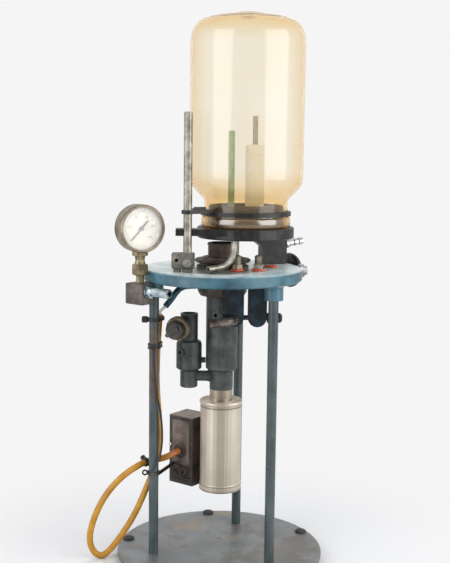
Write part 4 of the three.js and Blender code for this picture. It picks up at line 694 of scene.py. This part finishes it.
# The kind of finish, its dark, middle and light colour, and what else sets it apart
TONED_FINISHES = {
    "foot_rubber": (rubbery, (30, 30, 32), (44, 44, 46), (62, 60, 58), {}),
    "knob_dark": (rubbery, (34, 32, 29), (50, 47, 43), (80, 75, 68), {"rough": (0.3, 0.5)}),
    "tube_green": (rubbery, (124, 150, 88), (152, 178, 112), (184, 206, 146),
                   {"rough": (0.3, 0.5)}),
    "tube_grey": (rubbery, (148, 134, 110), (172, 156, 130), (192, 178, 152),
                  {"rough": (0.3, 0.5)}),
    "tube_cream": (rubbery, (244, 234, 204), (250, 243, 222), (254, 250, 236),
                   {"rough": (0.35, 0.55)}),
    "needle_grey": (rubbery, (124, 124, 118), (146, 146, 140), (164, 164, 158),
                    {"rough": (0.4, 0.6)}),
    "wheel_black": (rubbery, (20, 20, 21), (30, 30, 32), (52, 52, 52), {"rough": (0.2, 0.4)}),
    "seal_orange": (rubbery, (168, 66, 36), (205, 90, 50), (222, 118, 74), {"rough": (0.4, 0.6)}),
    "plug_green": (rubbery, (34, 31, 23), (48, 44, 31), (80, 71, 46), {}),
    "tie_black": (rubbery, (14, 14, 14), (22, 22, 22), (40, 40, 38), {"rough": (0.35, 0.55)}),
    "dial_ink": (rubbery, (108, 108, 98), (134, 132, 118), (160, 158, 142), {}),
    "casting_grey": (casting, (44, 48, 47), (60, 66, 64), (84, 89, 86), {"rough": (0.35, 0.55)}),
    "brown_metal": (casting, (62, 50, 42), (88, 74, 66), (118, 100, 84), {}),
    "stack_brown": (casting, (46, 40, 36), (80, 70, 62), (122, 110, 98), {}),
    "bonnet_tan": (casting, (78, 70, 58), (116, 102, 82), (148, 134, 110), {}),
    "bracket_teal": (casting, (14, 18, 20), (18, 34, 42), (30, 56, 68), {"rough": (0.12, 0.3)}),
    "block_worn": (casting, (66, 67, 61), (98, 98, 90), (138, 134, 120), {}),
    "block_brown": (casting, (66, 58, 52), (94, 85, 79), (122, 112, 104), {}),
    "plain_steel": (plain_metal, (110, 108, 98), (152, 150, 138), (184, 182, 170),
                    {"along": TUBE_LINES}),
    "tube_steel": (plain_metal, (62, 55, 50), (104, 94, 86), (150, 140, 130),
                   {"rough": (0.2, 0.4), "along": TUBE_LINES}),
    "rod_steel": (plain_metal, (112, 108, 98), (148, 144, 132), (184, 180, 168),
                  {"metallic": 0.6, "rough": (0.3, 0.5), "along": ROD_LINES}),
    "dark_steel": (plain_metal, (34, 34, 33), (58, 57, 54), (104, 102, 96),
                   {"metallic": 0.6, "rough": (0.2, 0.4)}),
    "black_steel": (plain_metal, (22, 21, 20), (33, 32, 31), (52, 50, 47),
                    {"metallic": 0.3, "rough": (0.3, 0.5)}),
    "bright_zinc": (plain_metal, (196, 198, 200), (224, 226, 228), (240, 240, 240),
                    {"metallic": 0.3, "rough": (0.3, 0.5)}),
    "olive_brass": (plain_metal, (88, 80, 70), (128, 119, 106), (160, 154, 126),
                    {"metallic": 0.6}),
    "stem_brass": (plain_metal, (96, 86, 64), (140, 128, 100), (176, 164, 130),
                   {"metallic": 0.6}),
    "barb_plated": (plain_metal, (128, 126, 122), (186, 184, 180), (220, 220, 216),
                    {"metallic": 0.85, "rough": (0.12, 0.3)}),
    "nozzle_chrome": (plain_metal, (120, 136, 146), (176, 192, 200), (216, 226, 230),
                      {"metallic": 0.95, "rough": (0.1, 0.25)}),
    "enamel_blue": (plain_metal, (20, 44, 58), (32, 70, 90), (64, 104, 122),
                    {"metallic": 0.3, "rough": (0.2, 0.4)}),
    "gauge_brown": (plain_metal, (92, 82, 68), (126, 114, 96), (158, 146, 126),
                    {"metallic": 0.45, "rough": (0.25, 0.45)}),
}

# Nodes whose look differs from the others of their slot
NODE_FINISHES = {
    "valve_bonnet": "bonnet_tan", "pivot_pin": "dark_steel", "cap_stack": "stack_brown",
    "guide_rod": "rod_steel", "riser_tube": "tube_green", "standpipe": "tube_grey",
    "gauge_pointer": "needle_grey", "box_bracket": "dark_steel", "drain_tube": "tube_steel",
    "valve_flange": "stack_brown", "rod_block": "block_worn",
}


def make_finishes():
    finishes = {name: make() for name, make in MADE_FINISHES.items()}
    for name, (kind, *tones, others) in TONED_FINISHES.items():
        finishes[name] = kind(name, *(rgb(*tone) for tone in tones), **others)
    return finishes


def dress(finishes, hose, jar):
    """Give every CAD node its finish, and soften the shading across its facets."""
    for entry in frame["record"]["subparts"]:
        node = nodes[entry["node"]]
        finish = NODE_FINISHES.get(entry["node"], entry["material_slot"])
        node.data.materials.clear()
        node.data.materials.append(finishes[finish])
        shade_smooth(node.data)
    hose.data.materials.clear()
    hose.data.materials.append(finishes["hose_yellow"])
    jar.data.materials.append(finishes["jar_amber"])


# The dial's printed marks, on the face of the gauge, in millimetres

GAUGE_CENTRE = Vector((-109.934, -51.03, 472.6))
GAUGE_TURN = math.radians(29)
DIAL_FACE = 4.24
SCALE_RADIUS = 23.0
SCALE_START = math.radians(225)
SCALE_SWEEP = math.radians(270)
SCALE_STEPS = 50
SCALE_LABELS = 5
LABEL_STEP = 20
LABEL_RADIUS = 16.4
LABEL_SIZE = 4.6
MAJOR_MARK = (3.6, 0.5)
MINOR_MARK = (1.9, 0.22)
# Radius and width of the printed arcs, and the pieces that each is made of
ARCS = [(SCALE_RADIUS, 0.22), (11.0, 0.16)]
ARC_PIECES = 72


def gauge_place():
    return (Matrix.Translation(GAUGE_CENTRE * MM) @ Matrix.Rotation(GAUGE_TURN, 4, "Z")
            @ Matrix.Rotation(math.radians(90), 4, "X"))


def scale_spot(share, radius):
    """A place on the dial, at this share of the scale's sweep."""
    angle = SCALE_START - SCALE_SWEEP * share
    return Vector((radius * math.cos(angle), radius * math.sin(angle), DIAL_FACE))


def add_text(mesh, words, size, spot):
    """Set a few plain characters flat on the dial."""
    data = bpy.data.curves.new("dial_text", "FONT")
    data.body = words
    data.size = size * MM
    data.align_x = "CENTER"
    data.align_y = "CENTER"
    data.resolution_u = 2
    text = bpy.data.objects.new("dial_text", data)
    letters = text.to_mesh()
    letters.transform(Matrix.Translation(spot * MM))
    mesh.from_mesh(letters)
    text.to_mesh_clear()
    bpy.data.objects.remove(text)


def add_marks(mesh):
    for step in range(SCALE_STEPS + 1):
        major = step % (SCALE_STEPS // SCALE_LABELS) == 0
        length, width = MAJOR_MARK if major else MINOR_MARK
        inner = scale_spot(step / SCALE_STEPS, SCALE_RADIUS - length)
        outer = scale_spot(step / SCALE_STEPS, SCALE_RADIUS)
        along = (outer - inner).normalized()
        side = Vector((-along.y, along.x, 0)) * width / 2
        corners = [inner - side, outer - side, outer + side, inner + side]
        mesh.faces.new([mesh.verts.new(corner * MM) for corner in corners])


def add_arc(mesh, radius, width):
    inner, outer = ([mesh.verts.new(scale_spot(i / ARC_PIECES, r) * MM)
                     for i in range(ARC_PIECES + 1)] for r in (radius - width, radius))
    for i in range(ARC_PIECES):
        mesh.faces.new((inner[i], outer[i], outer[i + 1], inner[i + 1]))


def make_dial_marks(finishes):
    mesh = bmesh.new()
    add_marks(mesh)
    for radius, width in ARCS:
        add_arc(mesh, radius, width)
    for label in range(SCALE_LABELS + 1):
        add_text(mesh, str(LABEL_STEP * label), LABEL_SIZE,
                 scale_spot(label / SCALE_LABELS, LABEL_RADIUS))
    data = written("dial_marks", mesh)
    data.transform(gauge_place())
    data.materials.append(finishes["dial_ink"])
    marks = placed("dial_marks", data)
    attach(marks, "stand")


# Small trims on the relay box: its edge screw and the wires across its panel, in millimetres

BOX_CORNER = Vector((-40.4, -0.2, 0.0))
BOX_TURN = math.radians(-36.87)
WIRE_RADIUS = 0.8
WIRE_ROUNDNESS = 3
PANEL_WIRES = [
    [(40, 1.6, 127.5), (30, 2.4, 128.5), (18, 2.2, 126), (8, 2.4, 127.5), (1.5, 2.6, 124)],
    [(35, 1.8, 121), (29, 2.2, 116), (21, 2, 113.5), (13, 2.2, 117), (9, 2.6, 122), (14, 3.2, 125),
     (20, 3, 120), (17, 2.2, 112), (8, 2, 110.5), (2, 2.4, 115)],
]
SCREW_SPOT = Vector((39.5, 0.1, 156.5))
SCREW_PROFILE = [(0, 1.1), (1, 1.1), (1.2, 1.6), (2.2, 1.2), (2.7, 0.4), (2.7, 0), (0, 0)]
SCREW_SIDES = 16


def box_frame():
    """Panel axes to the part's frame: x to the left along the panel, y out of it, z up."""
    along = Vector((math.cos(BOX_TURN), math.sin(BOX_TURN), 0))
    out = Vector((along.y, -along.x, 0))
    turn = Matrix((-along, out, Vector((0, 0, 1)))).transposed().to_4x4()
    return Matrix.Translation(BOX_CORNER * MM) @ turn


def make_box_trims(finishes):
    lines = [catmull(route, ROUTE_STEPS) for route in PANEL_WIRES]
    wires = swept("panel_wires", lines, WIRE_RADIUS, WIRE_ROUNDNESS)
    wires.transform(box_frame())
    add_trim("panel_wires", wires, finishes["stack_brown"])
    screw = lathe("box_screw", SCREW_PROFILE, SCREW_SIDES)
    out_of_panel = Matrix.Rotation(math.radians(-90), 4, "X")
    screw.transform(box_frame() @ Matrix.Translation(SCREW_SPOT * MM) @ out_of_panel)
    add_trim("box_screw", screw, finishes["bright_zinc"])


# Stage

BACKDROP = (0.92, 0.915, 0.918, 1)
FLOOR_COLOUR = (0.74, 0.74, 0.745, 1)
FLOOR_FADE = (0.17, 0.5)
FLOOR_REACH = 6.0
SKY_COLOUR = (0.95, 0.97, 1.0, 1)
SKY_STRENGTH = 0.62
# Mirrored straight from the viewer's side, the backdrop is darker, from this y of the direction on
DARK_FRONT = (-0.99, -0.62)
DARK_FRONT_STRENGTH = 0.3

LAMP_TARGET = Vector((0, 0, 0.45))
# Name, place, width and height in metres, power in watts, and whether surfaces mirror the lamp
LAMPS = [
    ("key", (-1.15, -0.95, 0.85), (1.1, 1.3), 15, True),
    ("fill", (1.3, -0.8, 0.85), (1.4, 1.3), 21, True),
    ("back", (0.3, 1.5, 1.5), (1.2, 0.8), 13, False),
]


def seen_by_camera(build, path):
    """1 for what the camera sees, directly or through glass."""
    return build.larger(path["Is Camera Ray"], path["Is Transmission Ray"])


def make_stage():
    """A pale floor that fades into the backdrop, seen directly or through glass."""
    material = bpy.data.materials.new("floor")
    material.use_nodes = True
    build = Nodes(material.node_tree)
    matt = build.tree.nodes["Principled BSDF"]
    matt.inputs["Base Color"].default_value = FLOOR_COLOUR
    matt.inputs["Roughness"].default_value = 0.9
    away = build.length(build.node("ShaderNodeTexCoord").outputs["Object"])
    fade = build.span(away, *FLOOR_FADE, interpolation="SMOOTHSTEP")
    seen = seen_by_camera(build, build.node("ShaderNodeLightPath").outputs)
    backdrop = build.node("ShaderNodeEmission", Color=BACKDROP)
    surface = build.blend(build.times(fade, seen), matt.outputs[0], backdrop.outputs[0])
    build.feed(build.tree.nodes["Material Output"].inputs["Surface"], surface)
    mesh = bpy.data.meshes.new("floor")
    corners = [(-1, -1), (1, -1), (1, 1), (-1, 1)]
    mesh.from_pydata([(x * FLOOR_REACH, y * FLOOR_REACH, 0) for x, y in corners], [],
                     [(0, 1, 2, 3)])
    mesh.materials.append(material)
    floor = placed("floor", mesh)


def make_world():
    """The backdrop for what is seen or mirrored, and a plain soft sky as the light."""
    world = bpy.data.worlds.new("studio")
    world.use_nodes = True
    scene.world = world
    build = Nodes(world.node_tree)
    build.tree.nodes.clear()
    path = build.node("ShaderNodeLightPath").outputs
    seen = seen_by_camera(build, path)
    shown = build.larger(seen, path["Is Glossy Ray"])
    direction = build.node("ShaderNodeSeparateXYZ",
                           Vector=build.node("ShaderNodeTexCoord").outputs["Generated"])
    front = build.span(direction.outputs["Y"], *DARK_FRONT, start=DARK_FRONT_STRENGTH,
                       interpolation="SMOOTHSTEP")
    backdrop = build.node("ShaderNodeBackground", Color=BACKDROP,
                          Strength=build.larger(front, seen))
    sky = build.node("ShaderNodeBackground", Color=SKY_COLOUR, Strength=SKY_STRENGTH)
    surface = build.blend(shown, sky.outputs[0], backdrop.outputs[0])
    build.node("ShaderNodeOutputWorld", Surface=surface)


def make_lights():
    for name, spot, size, power, mirrored in LAMPS:
        data = bpy.data.lights.new(name, "AREA")
        data.shape = "RECTANGLE"
        data.size, data.size_y = size
        data.energy = power
        lamp = placed(name, data)
        lamp.visible_transmission = False
        lamp.visible_glossy = mirrored
        lamp.location = spot
        lamp.rotation_euler = (LAMP_TARGET - Vector(spot)).to_track_quat("-Z", "Y").to_euler()


make_camera()
hose = make_hose()
jar = make_jar()
finishes = make_finishes()
dress(finishes, hose, jar)
make_dial_marks(finishes)
make_box_trims(finishes)
make_plug_top(finishes)
make_stage()
make_world()
make_lights()
scene.view_settings.view_transform = "Standard"

bpy.context.view_layer.update()
